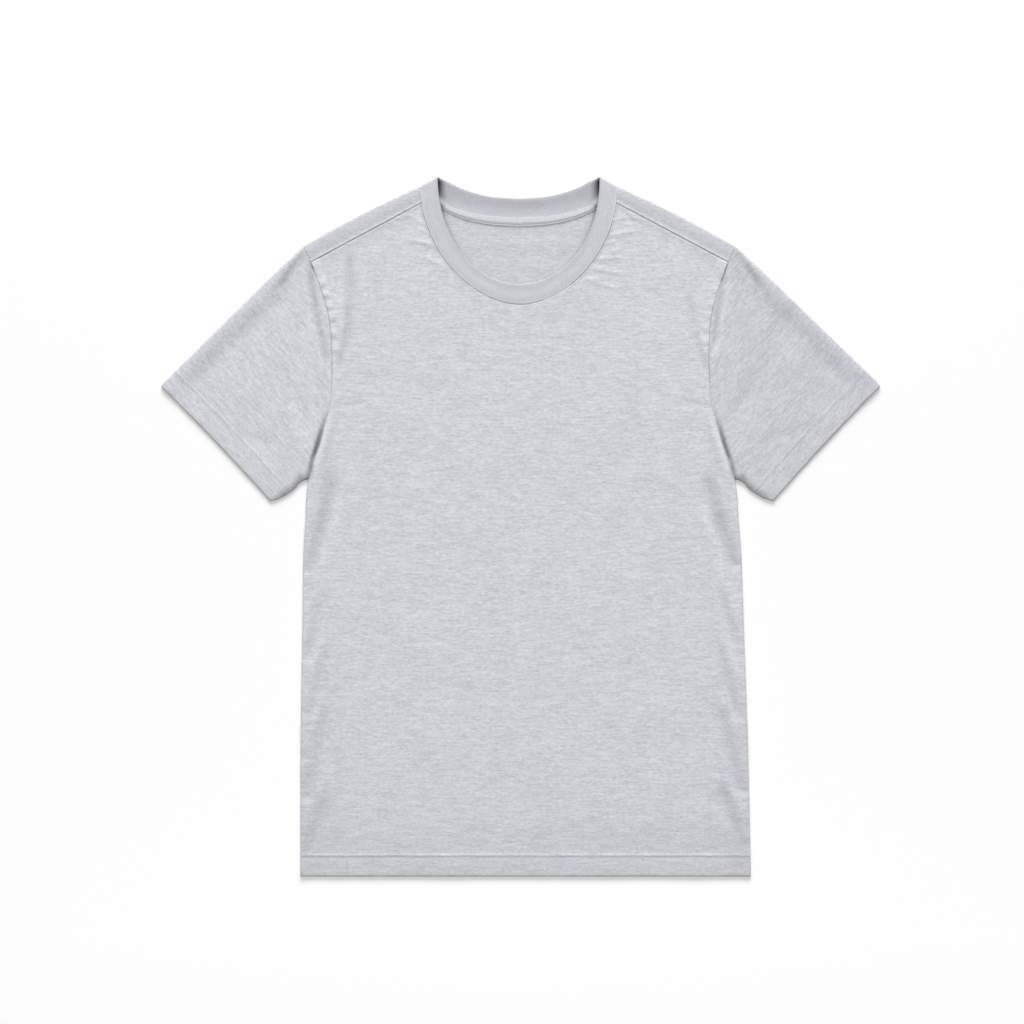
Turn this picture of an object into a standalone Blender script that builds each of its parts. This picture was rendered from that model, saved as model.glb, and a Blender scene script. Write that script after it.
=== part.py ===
"""Crew neck T-shirt of cotton jersey, laid flat on its back.

Units are metres. +X is the wearer's left, +Y the neck end and +Z up from the surface that the shirt lies on.
The origin is under the middle of the shirt's outline.

The tables describe the wearer's left half. Each piece is the outer face of its cloth, laid out in blocks of
rows and columns, mirrored for the other half, and thickened inwards. The back panel rolls over the shoulder
fold and ends at the shoulder seam, forward of it. The sleeves are folded tubes and the neckband is a folded
ring.
"""

import math

import bmesh
import bpy
import numpy as np


def table(columns, *rows):
    """One array for each named column."""
    return dict(zip(columns.split(), np.array(rows, float).T))


# Walls and clearances
JERSEY = 0.0010
HEM_CLOTH = 0.0018          # jersey turned up on itself
RIB = 0.0018
TAPE = 0.0008
SEAM_GAP = 0.0003

# Heights above the surface that the shirt lies on, of the outer face of its upper layer
LAYER_TOP = 0.0040
NECK_SEAM_TOP = 0.0047
SHOULDER_SEAM_TOP = 0.0050
BAND_FRONT_TOP = 0.0052
SLEEVE_FOLD_TOP = 0.0054    # at the cuff

# Folds
FOLD_RADIUS = 0.0032        # shoulder and collar
SIDE_RADIUS = 0.0024        # side seams and armpits
FOLD_SLIP = 0.0035          # how far the neck seam shifts along the shoulder fold as it goes round it
NECK_REACH = 0.018
SHOULDER_REACH = 0.025
SLEEVE_FOLD_REACH = 0.022

# The silhouette's shoulder line, from the neckband to the armhole, and the forward shoulder seam
SHOULDER_NECK = np.array([0.1089, 0.3747])
SHOULDER_ARM = np.array([0.2372, 0.3092])
SHOULDER_BOW = 0.0020       # how far the fold bows outwards between its ends
SHOULDER_BOW_REACH = 0.016  # how far in from the fold the cloth follows it
SEAM_NECK_LEVEL = 0.3577
SEAM_ARM_LEVEL = 0.2926

# Jersey leans as it comes off the loom: everything shifts to the wearer's left below this level
LEAN = 0.00716
LEAN_LEVEL = 0.15345

# Edge of the front and back panels: side seam, armpit, then armhole. The curls are the part of a quarter turn
# that each panel makes at its edge. The tops are the outer faces of the front and the sleeve there, and the
# reaches say how far in from the edge each takes to come to the layer's own height.
BODY_EDGE = table(
    "level    x       front_curl back_curl front_top front_reach sleeve_top sleeve_reach",
    (-0.3836, 0.2483, 0.89,      0.89,     0.0048,   0.010,      0.0034,    0.010),
    (-0.2338, 0.2459, 0.89,      0.89,     0.0048,   0.010,      0.0034,    0.010),
    (-0.0800, 0.2420, 0.89,      0.89,     0.0048,   0.012,      0.0034,    0.010),
    (-0.0280, 0.2408, 0.89,      0.89,     0.0050,   0.018,      0.0034,    0.010),
    (0.0083,  0.2382, 0.89,      0.89,     0.0052,   0.024,      0.0034,    0.010),
    (0.0540,  0.2344, 0.89,      0.89,     0.0052,   0.024,      0.0034,    0.010),
    (0.0710,  0.2295, 0.89,      0.30,     0.0054,   0.022,      0.0033,    0.010),
    (0.0900,  0.2225, 0.89,      0.00,     0.0056,   0.020,      0.0032,    0.010),
    (0.1130,  0.2165, 0.80,      0.00,     0.0054,   0.018,      0.0033,    0.010),
    (0.1360,  0.2095, 0.25,      0.00,     0.0048,   0.016,      0.0044,    0.014),
    (0.1590,  0.2078, 0.00,      0.00,     0.0045,   0.016,      0.0047,    0.018),
    (0.1900,  0.2074, 0.00,      0.00,     0.0044,   0.016,      0.0048,    0.020),
    (0.2162,  0.2083, 0.00,      0.00,     0.0044,   0.016,      0.0048,    0.020),
    (0.2410,  0.2122, 0.00,      0.00,     0.0045,   0.018,      0.0048,    0.020),
    (0.2668,  0.2200, 0.00,      0.00,     0.0046,   0.020,      0.0050,    0.020),
    (0.2935,  0.2300, 0.00,      0.00,     0.0049,   0.022,      0.0051,    0.020),
    (0.3092,  0.2372, 0.00,      0.00,     0.0050,   0.022,      0.0052,    0.020),
)
HEM_LEVEL = -0.3836
ARMPIT_LEVEL = 0.1360       # where the side of the body block meets the yoke block
FOLD_ARM_LEVEL = 0.3064     # where the armhole reaches the shoulder fold's roll
UNDERARM_LEVEL = 0.0540     # where the sleeve's lower edge leaves the body

# Half of a scooped neck edge from the centre front: a superellipse about the given level
FRONT_NECK_SEAM = {"half_width": 0.1080, "depth": 0.1257, "level": 0.3716, "power": 1.85}
FRONT_BAND_EDGE = {"half_width": 0.0888, "depth": 0.1159, "level": 0.3821, "power": 2.0}

# Half of the back neck from the centre back: its seam and the neckband's free edge, up to the fold's roll
BACK_NECK_SEAM = table(
    "x       level",
    (0.0000, 0.3401),
    (0.0366, 0.3425),
    (0.0585, 0.3467),
    (0.0754, 0.3525),
    (0.0869, 0.3587),
)
BACK_BAND_EDGE = table(
    "x       level",
    (0.0000, 0.3621),
    (0.0325, 0.3647),
    (0.0440, 0.3671),
    (0.0550, 0.3704),
    (0.0660, 0.3745),
    (0.0765, 0.3797),
)

# Silhouettes of the sleeve's folds, from the armhole to the cuff. The radius is the fold's, in plan.
SLEEVE_TOP_FOLD = table(
    "x       level   radius",
    (0.2372, 0.3092, 0.0032),
    (0.2472, 0.2999, 0.0031),
    (0.2604, 0.2880, 0.0031),
    (0.2736, 0.2755, 0.0030),
    (0.3265, 0.2238, 0.0029),
    (0.3964, 0.1558, 0.0028),
)
SLEEVE_UNDERARM_FOLD = table(
    "x       level   radius",
    (0.2344, 0.0540, 0.0018),
    (0.2421, 0.0522, 0.0018),
    (0.2465, 0.0495, 0.0019),
    (0.2509, 0.0445, 0.0020),
    (0.2575, 0.0398, 0.0022),
    (0.2776, 0.0291, 0.0024),
)
CUFF_BOW = 0.0012           # how far the cuff's edge curves inwards between its ends

# How a turned-up edge stands above the layer, at distances from its fold: its stitching pulls it down
HEM_PROFILE = table(
    "from_edge lift",
    (0.0000,   0.0003),
    (0.0020,   0.0006),
    (0.0200,   0.0007),
    (0.0225,   0.0001),
    (0.0250,   0.0003),
    (0.0330,   0.0000),
)
HEM_DEPTH = 0.0225
# The corner of the cuff at the sleeve's upper fold is rounded: how far the fold draws in near the cuff
CUFF_CORNER = table("from_edge recess", (0.0, 0.0014), (0.002, 0.0004), (0.005, 0.0))

# The largest folds, as soft troughs (negative) and ridges in the upper layer. Negative x: the wearer's right
FRONT_FOLDS = table(
    "x0       y0       x1       y1       width   height",
    (-0.187,  0.267,  -0.197,   0.176,   0.0060, -0.0007),
    (0.189,   0.223,   0.200,   0.165,   0.0055, -0.0006),
    (-0.208,  0.060,  -0.216,   0.008,   0.0080, -0.0008),
    (-0.216,  0.008,  -0.233,  -0.041,   0.0070, -0.0006),
    (0.207,   0.055,   0.217,   0.000,   0.0080, -0.0007),
    (0.196,  -0.300,   0.240,  -0.350,   0.0080, 0.0006),
)
SLEEVE_FOLDS = table(
    "x0       y0       x1       y1       width   height",
    (-0.233,  0.280,  -0.229,   0.240,   0.0060, -0.0008),
    (-0.229,  0.240,  -0.221,   0.200,   0.0060, -0.0007),
    (0.235,   0.276,   0.228,   0.215,   0.0060, -0.0007),
    (-0.250,  0.288,  -0.348,   0.186,   0.0060, -0.0004),
    (0.249,   0.286,   0.350,   0.184,   0.0060, -0.0005),
    (-0.252,  0.120,  -0.232,   0.082,   0.0080, 0.0008),
    (0.250,   0.124,   0.231,   0.080,   0.0080, 0.0007),
)

# Mesh
CHEST_COLUMNS = 9           # from the centre line to the side roll
BODY_ROWS = 12              # from the hem's stitching to the underarm
ARMPIT_ROWS = 5             # from the underarm to the armpit
ARM_ROWS = 10               # from the armpit up the armhole to the shoulder seam
STRIP_ROWS = 2              # from the shoulder seam to the shoulder fold
YOKE_STEPS = 6              # from the neckline out
FOLD_STEPS = 6              # round the shoulder and sleeve folds
UNDER_FOLD_STEPS = 4
SLEEVE_RINGS = 8            # from the armhole to the cuff's stitching
BAND_STATIONS_BACK = 10
BAND_STATIONS_FRONT = 16
BAND_CROWDING = 0.3
ROLL_PARTS = np.array([0.3, 0.6, 0.9, 1.0])     # round a side roll, with a short last face
LEAST_CURL = 0.001          # a panel that doesn't curl at its edge still has the roll's columns
CURVE_POINTS = 200          # on a worked-out curve, before it is divided
WELD = 0.00001

# Materials: colour and roughness
HEATHER_GREY = ((0.63, 0.635, 0.665), 0.95)
RIB_GREY = ((0.60, 0.605, 0.635), 0.95)
TAPE_GREY = ((0.58, 0.585, 0.615), 0.95)


# ---- curves in plan ----

def spline(knots, values, at):
    """A smooth curve through the rows (knots, values), read at the places `at`."""
    knots, values, at = np.asarray(knots), np.asarray(values), np.asarray(at, float)
    slopes = np.gradient(values, knots, axis=0)
    i = np.clip(np.searchsorted(knots, at, side="right") - 1, 0, len(knots) - 2)
    step = knots[i + 1] - knots[i]
    t = (at - knots[i]) / step
    if values.ndim > 1:
        t, step = t[..., None], step[..., None]
    return (
        values[i] * (1 + 2 * t) * (1 - t) ** 2
        + slopes[i] * step * t * (1 - t) ** 2
        + values[i + 1] * t * t * (3 - 2 * t)
        + slopes[i + 1] * step * t * t * (t - 1)
    )


def lengths(points):
    """Distance along a run of points, from its first."""
    steps = np.linalg.norm(np.diff(points, axis=0), axis=1)
    return np.concatenate([[0.0], np.cumsum(steps)])


def smooth_run(points):
    """A closely spaced smooth run through a few points."""
    along = lengths(points)
    return spline(along, points, np.linspace(0.0, along[-1], CURVE_POINTS))


def divide(points, fractions):
    """Places on a run of points at fractions of its length."""
    along = lengths(points)
    at = np.asarray(fractions) * along[-1]
    return np.stack([np.interp(at, along, points[:, k]) for k in range(points.shape[1])], axis=-1)


def even(count):
    return np.linspace(0.0, 1.0, count + 1)


def crowded(count, crowding=0.6):
    """Fractions from 0 to 1 that lie closer together near both ends."""
    t = even(count)
    return t * (1 - crowding) + crowding * (1 - np.cos(np.pi * t)) / 2


def crowded_end(count, crowding=0.5):
    """Fractions from 0 to 1 that lie closer together near 1."""
    t = even(count)
    return t * (1 - crowding) + crowding * np.sin(np.pi * t / 2)


def superellipse(half_width, depth, level, power):
    """Run from the centre front up to the given level, where the edge is half_width from the centre."""
    angle = np.linspace(0.0, np.pi / 2, CURVE_POINTS)
    x = half_width * np.sin(angle) ** (2 / power)
    y = level - depth * np.cos(angle) ** (2 / power)
    return np.stack([x, y], axis=-1)


def below(run, level):
    """The part of a rising run that lies below a level, ending on it."""
    kept = run[run[:, 1] < level]
    return np.vstack([kept, [np.interp(level, run[:, 1], run[:, 0]), level]])


def edge_at(level):
    """Points and outward normals of the body's edge at the given levels."""
    level = np.asarray(level, float)
    nudge = 0.0005
    x = spline(BODY_EDGE["level"], BODY_EDGE["x"], level)
    slope = (spline(BODY_EDGE["level"], BODY_EDGE["x"], level + nudge) - x) / nudge
    normal = np.stack([np.ones_like(x), -slope], axis=-1)
    return np.stack([x, level], axis=-1), normal / np.linalg.norm(normal, axis=-1, keepdims=True)


def edge_column(name, level):
    return np.interp(level, BODY_EDGE["level"], BODY_EDGE[name])


SHOULDER_ALONG = (SHOULDER_ARM - SHOULDER_NECK) / np.linalg.norm(SHOULDER_ARM - SHOULDER_NECK)
SHOULDER_OUT = np.array([-SHOULDER_ALONG[1], SHOULDER_ALONG[0]])
FRONT_SEAM_RUN = superellipse(**FRONT_NECK_SEAM)
FRONT_BAND_RUN = superellipse(**FRONT_BAND_EDGE)


def run_to_fold(points, fold_end):
    """Smooth run through a table's points and on to where it meets the shoulder fold's roll, below."""
    start = fold_end - FOLD_SLIP * SHOULDER_ALONG
    return smooth_run(np.vstack([np.stack([points["x"], points["level"]], axis=-1), start]))


BACK_SEAM_RUN = run_to_fold(BACK_NECK_SEAM, FRONT_SEAM_RUN[-1])
BACK_BAND_RUN = run_to_fold(BACK_BAND_EDGE, FRONT_BAND_RUN[-1])


# ---- heights ----

def fall(x):
    """1 at 0, falling smoothly to 0 at 1 and beyond."""
    x = np.clip(x, 0.0, 1.0)
    return (1 - x) ** 2 * (1 + 2 * x)


def blend(*lifts):
    """Lifts that meet, such as at a corner, give about the larger one."""
    return sum(lift ** 4 for lift in lifts) ** 0.25


def nearest(plan, run):
    """Distance from each place to a run of points, and the run's index nearest to it."""
    gaps = np.linalg.norm(plan[..., None, :] - run, axis=-1)
    return gaps.min(axis=-1), gaps.argmin(axis=-1)


def folds(plan, rows):
    """Sum of the soft troughs and ridges, each along a straight line and dying away at its ends."""
    total = np.zeros(plan.shape[:-1])
    for x0, y0, x1, y1, width, height in zip(*rows.values()):
        start, line = np.array([x0, y0]), np.array([x1 - x0, y1 - y0])
        length = np.linalg.norm(line)
        along = (plan - start) @ line / length
        across = (plan - start) @ np.array([-line[1], line[0]]) / length
        beyond = np.maximum(0.0, np.abs(along - length / 2) - length / 2)
        total += height * np.exp(-(across / width) ** 2 - (beyond / (2 * width)) ** 2)
    return total


def hem_lift(from_edge):
    return np.interp(from_edge, HEM_PROFILE["from_edge"], HEM_PROFILE["lift"])


SHOULDER_SEAM_RUN = divide(
    np.vstack([below(FRONT_SEAM_RUN, SEAM_NECK_LEVEL)[-1], edge_at(SEAM_ARM_LEVEL)[0]]), even(CURVE_POINTS)
)
EDGE_LEVELS = np.linspace(HEM_LEVEL, FOLD_ARM_LEVEL, CURVE_POINTS)
EDGE_POINTS, EDGE_NORMALS = edge_at(EDGE_LEVELS)
INSET_RUN = EDGE_POINTS - SIDE_RADIUS * EDGE_NORMALS


def front_height(plan):
    """Outer face of the front panel at places (x, y), either side of the centre line."""
    half = np.stack([np.abs(plan[..., 0]), plan[..., 1]], axis=-1)
    from_edge, i = nearest(half, INSET_RUN)
    edge = (edge_column("front_top", EDGE_LEVELS[i]) - LAYER_TOP) * fall(
        from_edge / edge_column("front_reach", EDGE_LEVELS[i])
    )
    neck = (NECK_SEAM_TOP - LAYER_TOP) * fall(nearest(half, FRONT_SEAM_RUN)[0] / NECK_REACH)
    from_seam = nearest(half, SHOULDER_SEAM_RUN)[0]
    shoulder = (SHOULDER_SEAM_TOP - LAYER_TOP) * fall(from_seam / SHOULDER_REACH)
    lifted = LAYER_TOP + blend(edge, neck, shoulder) + folds(plan, FRONT_FOLDS)
    return lifted + hem_lift(half[..., 1] - HEM_LEVEL)


# ---- meshes ----

def lean(points):
    """Shift points sideways with their distance below the lean's level."""
    points = points.copy()
    points[..., 0] += LEAN * (LEAN_LEVEL - points[..., 1])
    return points


def with_height(plan, z):
    return np.concatenate([plan, np.broadcast_to(z, plan.shape[:-1])[..., None]], axis=-1)


def bowed(points):
    """Points near the shoulder fold of the left half, moved outwards to bow it."""
    from_neck = (points[..., :2] - SHOULDER_NECK) @ SHOULDER_ALONG
    inwards = (SHOULDER_NECK - points[..., :2]) @ SHOULDER_OUT
    part = np.clip(from_neck / np.linalg.norm(SHOULDER_ARM - SHOULDER_NECK), 0.0, 1.0)
    shift = SHOULDER_BOW * np.sin(np.pi * part) * fall(inwards / SHOULDER_BOW_REACH)
    points = points.copy()
    points[..., :2] += shift[..., None] * SHOULDER_OUT
    return points


def mirrored(blocks):
    return [(points * (-1, 1, 1), doubled) for points, doubled in blocks]


def material(name, look):
    colour, roughness = look
    made = bpy.data.materials.new(name)
    made.use_nodes = True
    shader = made.node_tree.nodes["Principled BSDF"]
    shader.inputs["Base Color"].default_value = (*colour, 1.0)
    shader.inputs["Roughness"].default_value = roughness
    shader.inputs["Metallic"].default_value = 0.0
    return made


def add_block(mesh, points, closed_rows=False):
    """Quads between neighbouring rows and columns. Closed rows join their last column to their first."""
    rows, columns = points.shape[:2]
    verts = [[mesh.verts.new(point) for point in row] for row in points]
    for r in range(rows - 1):
        for c in range(columns if closed_rows else columns - 1):
            d = (c + 1) % columns
            mesh.faces.new((verts[r][c], verts[r][d], verts[r + 1][d], verts[r + 1][c]))
    return verts


def finished(name, mesh, look):
    """Weld the blocks, turn the faces outwards (the highest one faces up) and make the object."""
    bmesh.ops.remove_doubles(mesh, verts=mesh.verts, dist=WELD)
    bmesh.ops.recalc_face_normals(mesh, faces=mesh.faces)
    mesh.normal_update()
    highest = max(mesh.faces, key=lambda face: face.calc_center_median().z)
    if highest.normal.z < 0:
        bmesh.ops.reverse_faces(mesh, faces=mesh.faces)
    data = bpy.data.meshes.new(name)
    mesh.to_mesh(data)
    mesh.free()
    data.shade_smooth()
    data.materials.append(material(f"{name}_cloth", look))
    made = bpy.data.objects.new(name, data)
    bpy.context.scene.collection.objects.link(made)
    return made


def cloth(name, blocks, look, closed_rows=False):
    """Jersey from blocks of outer points. The first rows of a block that are doubled get the hem's
    thickness."""
    mesh = bmesh.new()
    weights = mesh.verts.layers.deform.verify()
    for points, doubled in blocks:
        verts = add_block(mesh, lean(points), closed_rows)
        for row in verts[:doubled]:
            for vert in row:
                vert[weights][0] = 1.0
    made = finished(name, mesh, look)
    made.vertex_groups.new(name="hem")
    wall = made.modifiers.new("wall", "SOLIDIFY")
    wall.thickness = HEM_CLOTH
    wall.offset = -1.0
    wall.use_even_offset = True
    wall.vertex_group = "hem"
    wall.thickness_vertex_group = JERSEY / HEM_CLOTH
    return made


# ---- the front and back panels ----

def ruled(starts, ends, fractions):
    """Rows of places on straight lines between two runs of points."""
    return starts[:, None] + (ends - starts)[:, None] * np.asarray(fractions)[None, :, None]


def panel_rows(starts, levels, fractions, curl_name):
    """Rows from starts out to the body's edge and round its roll: places in plan, and how far each has
    turned away from the face of the layer."""
    edge, normal = edge_at(levels)
    inset = edge - SIDE_RADIUS * normal
    turn = np.maximum(edge_column(curl_name, levels), LEAST_CURL)[:, None] * np.pi / 2
    across = SIDE_RADIUS * np.sin(ROLL_PARTS * turn) / np.sin(turn)
    away = SIDE_RADIUS * (1 - np.cos(ROLL_PARTS * turn)) / np.sin(turn)
    flat = ruled(starts, inset, fractions)
    roll = inset[:, None] + normal[:, None] * across[..., None]
    turned = np.concatenate([np.zeros(flat.shape[:2]), away], axis=1)
    return np.concatenate([flat, roll], axis=1), turned


HEM_LEVELS = HEM_LEVEL + HEM_PROFILE["from_edge"]
HEM_ROWS = int(np.sum(HEM_PROFILE["from_edge"] <= HEM_DEPTH))
UNDERARM_LEVELS = np.linspace(UNDERARM_LEVEL, ARMPIT_LEVEL, ARMPIT_ROWS + 1)
BODY_LEVELS = np.concatenate([
    HEM_LEVELS,
    np.linspace(HEM_LEVELS[-1], UNDERARM_LEVEL, BODY_ROWS + 1)[1:],
    UNDERARM_LEVELS[1:],
])
ARM_LEVELS = np.linspace(ARMPIT_LEVEL, SEAM_ARM_LEVEL, ARM_ROWS + 1)
STRIP_LEVELS = np.linspace(SEAM_ARM_LEVEL, FOLD_ARM_LEVEL, STRIP_ROWS + 1)


def panel_plan(neck_run, arm_levels, curl_name):
    """Blocks of half a panel in plan: the body up to the armpit, the yoke over the chest, and the yoke
    beside the armhole. Each is (places, turned, rows of doubled cloth)."""
    chest = crowded_end(CHEST_COLUMNS)
    centre = np.stack([np.zeros_like(BODY_LEVELS), BODY_LEVELS], axis=-1)
    body, body_turned = panel_rows(centre, BODY_LEVELS, chest, curl_name)
    neck = divide(neck_run, even(CHEST_COLUMNS + len(arm_levels) - 1))
    steps = crowded(YOKE_STEPS)
    over_chest = ruled(neck[:CHEST_COLUMNS + 1], body[-1, :CHEST_COLUMNS + 1], steps)
    beside_arm, arm_turned = panel_rows(neck[CHEST_COLUMNS:], arm_levels, steps, curl_name)
    return [
        (body, body_turned, HEM_ROWS),
        (over_chest, np.zeros(over_chest.shape[:2]), 0),
        (beside_arm, arm_turned, 0),
    ]


def make_front():
    """The front's outer face follows the upper layer's height, and its roll hangs from the height where it
    starts."""
    neck_run = below(FRONT_SEAM_RUN, SEAM_NECK_LEVEL)
    blocks = []
    for side in (1, -1):
        for plan, turned, doubled in panel_plan(neck_run, ARM_LEVELS, "front_curl"):
            plan = plan * (side, 1)
            face = plan.copy()
            if turned.any():
                face[:, -len(ROLL_PARTS):] = plan[:, [-1 - len(ROLL_PARTS)]]
            blocks.append((with_height(plan, front_height(face) - turned), doubled))
    return cloth("front", blocks, HEATHER_GREY)


def strip_rows(first_row):
    """Rows of the back panel from its last flat one, round the shoulder fold and forward to the seam."""
    fractions = crowded(YOKE_STEPS)
    neck_end = FRONT_SEAM_RUN[-1]
    arm_end = edge_at(FOLD_ARM_LEVEL)[0]
    rows = [first_row]
    for angle in even(FOLD_STEPS)[1:] * np.pi:
        out = FOLD_RADIUS * math.sin(angle) * SHOULDER_OUT
        start = neck_end - FOLD_SLIP * (1 - angle / np.pi) * SHOULDER_ALONG + out
        rows.append((start, arm_end + out, FOLD_RADIUS * (1 - math.cos(angle))))
    neck_side = divide(FRONT_SEAM_RUN[FRONT_SEAM_RUN[:, 1] > SEAM_NECK_LEVEL][::-1], even(STRIP_ROWS))
    arm_side = edge_at(STRIP_LEVELS[::-1])[0]
    for k in range(1, STRIP_ROWS + 1):
        drop = (2 * FOLD_RADIUS - SHOULDER_SEAM_TOP) * (1 - fall(k / STRIP_ROWS))
        clear = SEAM_GAP * SHOULDER_OUT if k == STRIP_ROWS else 0.0
        rows.append((neck_side[k] + clear, arm_side[k] + clear, 2 * FOLD_RADIUS - drop))
    return np.stack([rows[0]] + [strip_row(start, end, z, fractions) for start, end, z in rows[1:]])


def strip_row(start, end, z, fractions):
    """One row across the shoulder strip, with columns where the yoke has them."""
    inset = end - SIDE_RADIUS * SHOULDER_ALONG
    flat = start + (inset - start) * fractions[:, None]
    edge = inset + (end - inset) * ROLL_PARTS[:, None]
    return with_height(np.concatenate([flat, edge]), z)


def make_back():
    half = [
        (with_height(plan, turned), doubled)
        for plan, turned, doubled in panel_plan(
            BACK_SEAM_RUN, np.concatenate([ARM_LEVELS, STRIP_LEVELS[1:]]), "back_curl"
        )
    ]
    half.append((strip_rows(half[-1][0][-1]), 0))
    half = [(bowed(points), doubled) for points, doubled in half]
    return cloth("back", half + mirrored(half), HEATHER_GREY)


# ---- sleeves ----

def directions_at(along, values, fractions):
    """Unit vectors read from a run's own at fractions of its length."""
    read = np.stack([np.interp(fractions * along[-1], along, values[:, k]) for k in (0, 1)], axis=-1)
    return read / np.linalg.norm(read, axis=-1, keepdims=True)


def fold_places(silhouette, from_cuff):
    """Places on a fold's silhouette at distances from the cuff, with its outward normals and radii."""
    run = smooth_run(np.stack([silhouette["x"], silhouette["level"]], axis=-1))
    along = lengths(run)
    knots = lengths(np.stack([silhouette["x"], silhouette["level"]], axis=-1))
    at = 1.0 - np.asarray(from_cuff) / along[-1]
    direction = directions_at(along, np.gradient(run, along, axis=0), at)
    radius = np.interp(at * knots[-1], knots, silhouette["radius"])
    return divide(run, at), direction, radius


def ring_distances(silhouette):
    """Distances from the cuff of the rings, at one fold: close together round the stitching."""
    full = lengths(smooth_run(np.stack([silhouette["x"], silhouette["level"]], axis=-1)))[-1]
    low = HEM_PROFILE["from_edge"][:-1]
    return np.concatenate([low, np.linspace(low[-1], full, SLEEVE_RINGS + 1)[1:]])


def sleeve_layout():
    """Rings of the left sleeve in plan, cuff first: the inset of each fold, its normal and radius, and the
    places between the two insets."""
    top_from_cuff = ring_distances(SLEEVE_TOP_FOLD)
    top, along, top_radius = fold_places(SLEEVE_TOP_FOLD, top_from_cuff)
    top_out = np.stack([-along[:, 1], along[:, 0]], axis=-1)
    under, along, under_radius = fold_places(SLEEVE_UNDERARM_FOLD, ring_distances(SLEEVE_UNDERARM_FOLD))
    under_out = np.stack([along[:, 1], -along[:, 0]], axis=-1)
    recess = np.interp(top_from_cuff, CUFF_CORNER["from_edge"], CUFF_CORNER["recess"])
    top = top - top_out * (top_radius + recess)[:, None]
    under = under - under_out * under_radius[:, None]

    levels = np.concatenate([UNDERARM_LEVELS, ARM_LEVELS[1:], STRIP_LEVELS[1:]])[::-1]
    levels[-1] += under_radius[-1]
    edge, normal = edge_at(levels)
    armhole = edge + SEAM_GAP * normal
    top[-1], under[-1] = armhole[0], armhole[-1]
    top_out[-1], top_radius[-1] = SHOULDER_OUT, FOLD_RADIUS
    sideways = edge_at(UNDERARM_LEVEL)[1]
    under_out[-1] = (sideways[1], -sideways[0])

    fractions = lengths(armhole) / lengths(armhole)[-1]
    places = ruled(top, under, fractions)
    bow = armhole - places[-1]
    shape = np.concatenate([np.zeros(len(places) - SLEEVE_RINGS), even(SLEEVE_RINGS)[1:]])
    places = places + bow[None] * shape[:, None, None]
    inward = under[0] - top[0]
    inward = np.array([inward[1], -inward[0]]) / np.linalg.norm(inward)
    arch = CUFF_BOW * np.sin(np.pi * fractions)[None, :, None] * (1 - shape)[:, None, None]
    places = places + arch * inward
    return top, top_out, top_radius, under, under_out, under_radius, places


SLEEVE_LAYOUT = sleeve_layout()


def sleeve_height(plan):
    """Outer face of a sleeve's upper layer at places (x, y) of either sleeve."""
    half = np.stack([np.abs(plan[..., 0]), plan[..., 1]], axis=-1)
    top = SLEEVE_LAYOUT[0]
    fold_run = divide(top, even(CURVE_POINTS))
    from_fold, i = nearest(half, fold_run)
    height = SLEEVE_FOLD_TOP + (2 * FOLD_RADIUS - SLEEVE_FOLD_TOP) * i / CURVE_POINTS
    fold = (height - LAYER_TOP) * fall(from_fold / SLEEVE_FOLD_REACH)
    from_arm, i = nearest(half, EDGE_POINTS)
    arm = (edge_column("sleeve_top", EDGE_LEVELS[i]) - LAYER_TOP) * fall(
        from_arm / edge_column("sleeve_reach", EDGE_LEVELS[i])
    )
    cuff = SLEEVE_LAYOUT[6][0]
    cuff_line = cuff[-1] - cuff[0]
    inward = np.array([cuff_line[1], -cuff_line[0]]) / np.linalg.norm(cuff_line)
    from_cuff = (half - cuff[0]) @ inward
    lifted = LAYER_TOP + blend(fold, np.maximum(arm, 0.0)) + np.minimum(arm, 0.0)
    return lifted + folds(plan, SLEEVE_FOLDS) + hem_lift(np.maximum(from_cuff, 0.0))


def roll_points(inset, out, radius, height, steps, upwards):
    """Places round a fold between the two layers, without its ends."""
    angles = even(steps)[1:-1] * np.pi
    if not upwards:
        angles = angles[::-1]
    plan = inset[:, None] + out[:, None] * (radius[:, None] * np.sin(angles))[..., None]
    return with_height(plan, height[:, None] / 2 * (1 - np.cos(angles)))


def make_sleeve(name, side):
    top, top_out, top_radius, under, under_out, under_radius, places = SLEEVE_LAYOUT
    mirror = np.array([side, 1])
    upper = with_height(places * mirror, sleeve_height(places * mirror))
    lower = with_height(places * mirror, 0.0)[:, ::-1]
    top_roll = roll_points(top * mirror, top_out * mirror, top_radius, upper[:, 0, 2], FOLD_STEPS, True)
    under_roll = roll_points(
        under * mirror, under_out * mirror, under_radius, upper[:, -1, 2], UNDER_FOLD_STEPS, False
    )
    rings = np.concatenate([upper, under_roll, lower, top_roll], axis=1)
    return cloth(name, [(rings, HEM_ROWS)], HEATHER_GREY, closed_rows=True)


# ---- neckband and neck tape ----

# The band's cross-section, from its seam edge to its rounded free edge and back: fractions of its width and
# of its thickness. Its outer face is crowned where it isn't lying on the surface below.
BAND_SECTION = table(
    "across  inward  crown",
    (0.00,   0.00,   0.0),
    (0.12,   0.00,   0.5),
    (0.50,   0.00,   1.0),
    (0.90,   0.00,   0.3),
    (0.985,  0.20,   0.0),
    (1.00,   0.50,   0.0),
    (0.985,  0.80,   0.0),
    (0.90,   1.00,   0.0),
    (0.50,   1.00,   0.0),
    (0.00,   1.00,   0.0),
)
BAND_CROWN = 0.0002
BAND_PEAK_REACH = 0.83      # part of the half front band over which it comes down from the peak


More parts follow.
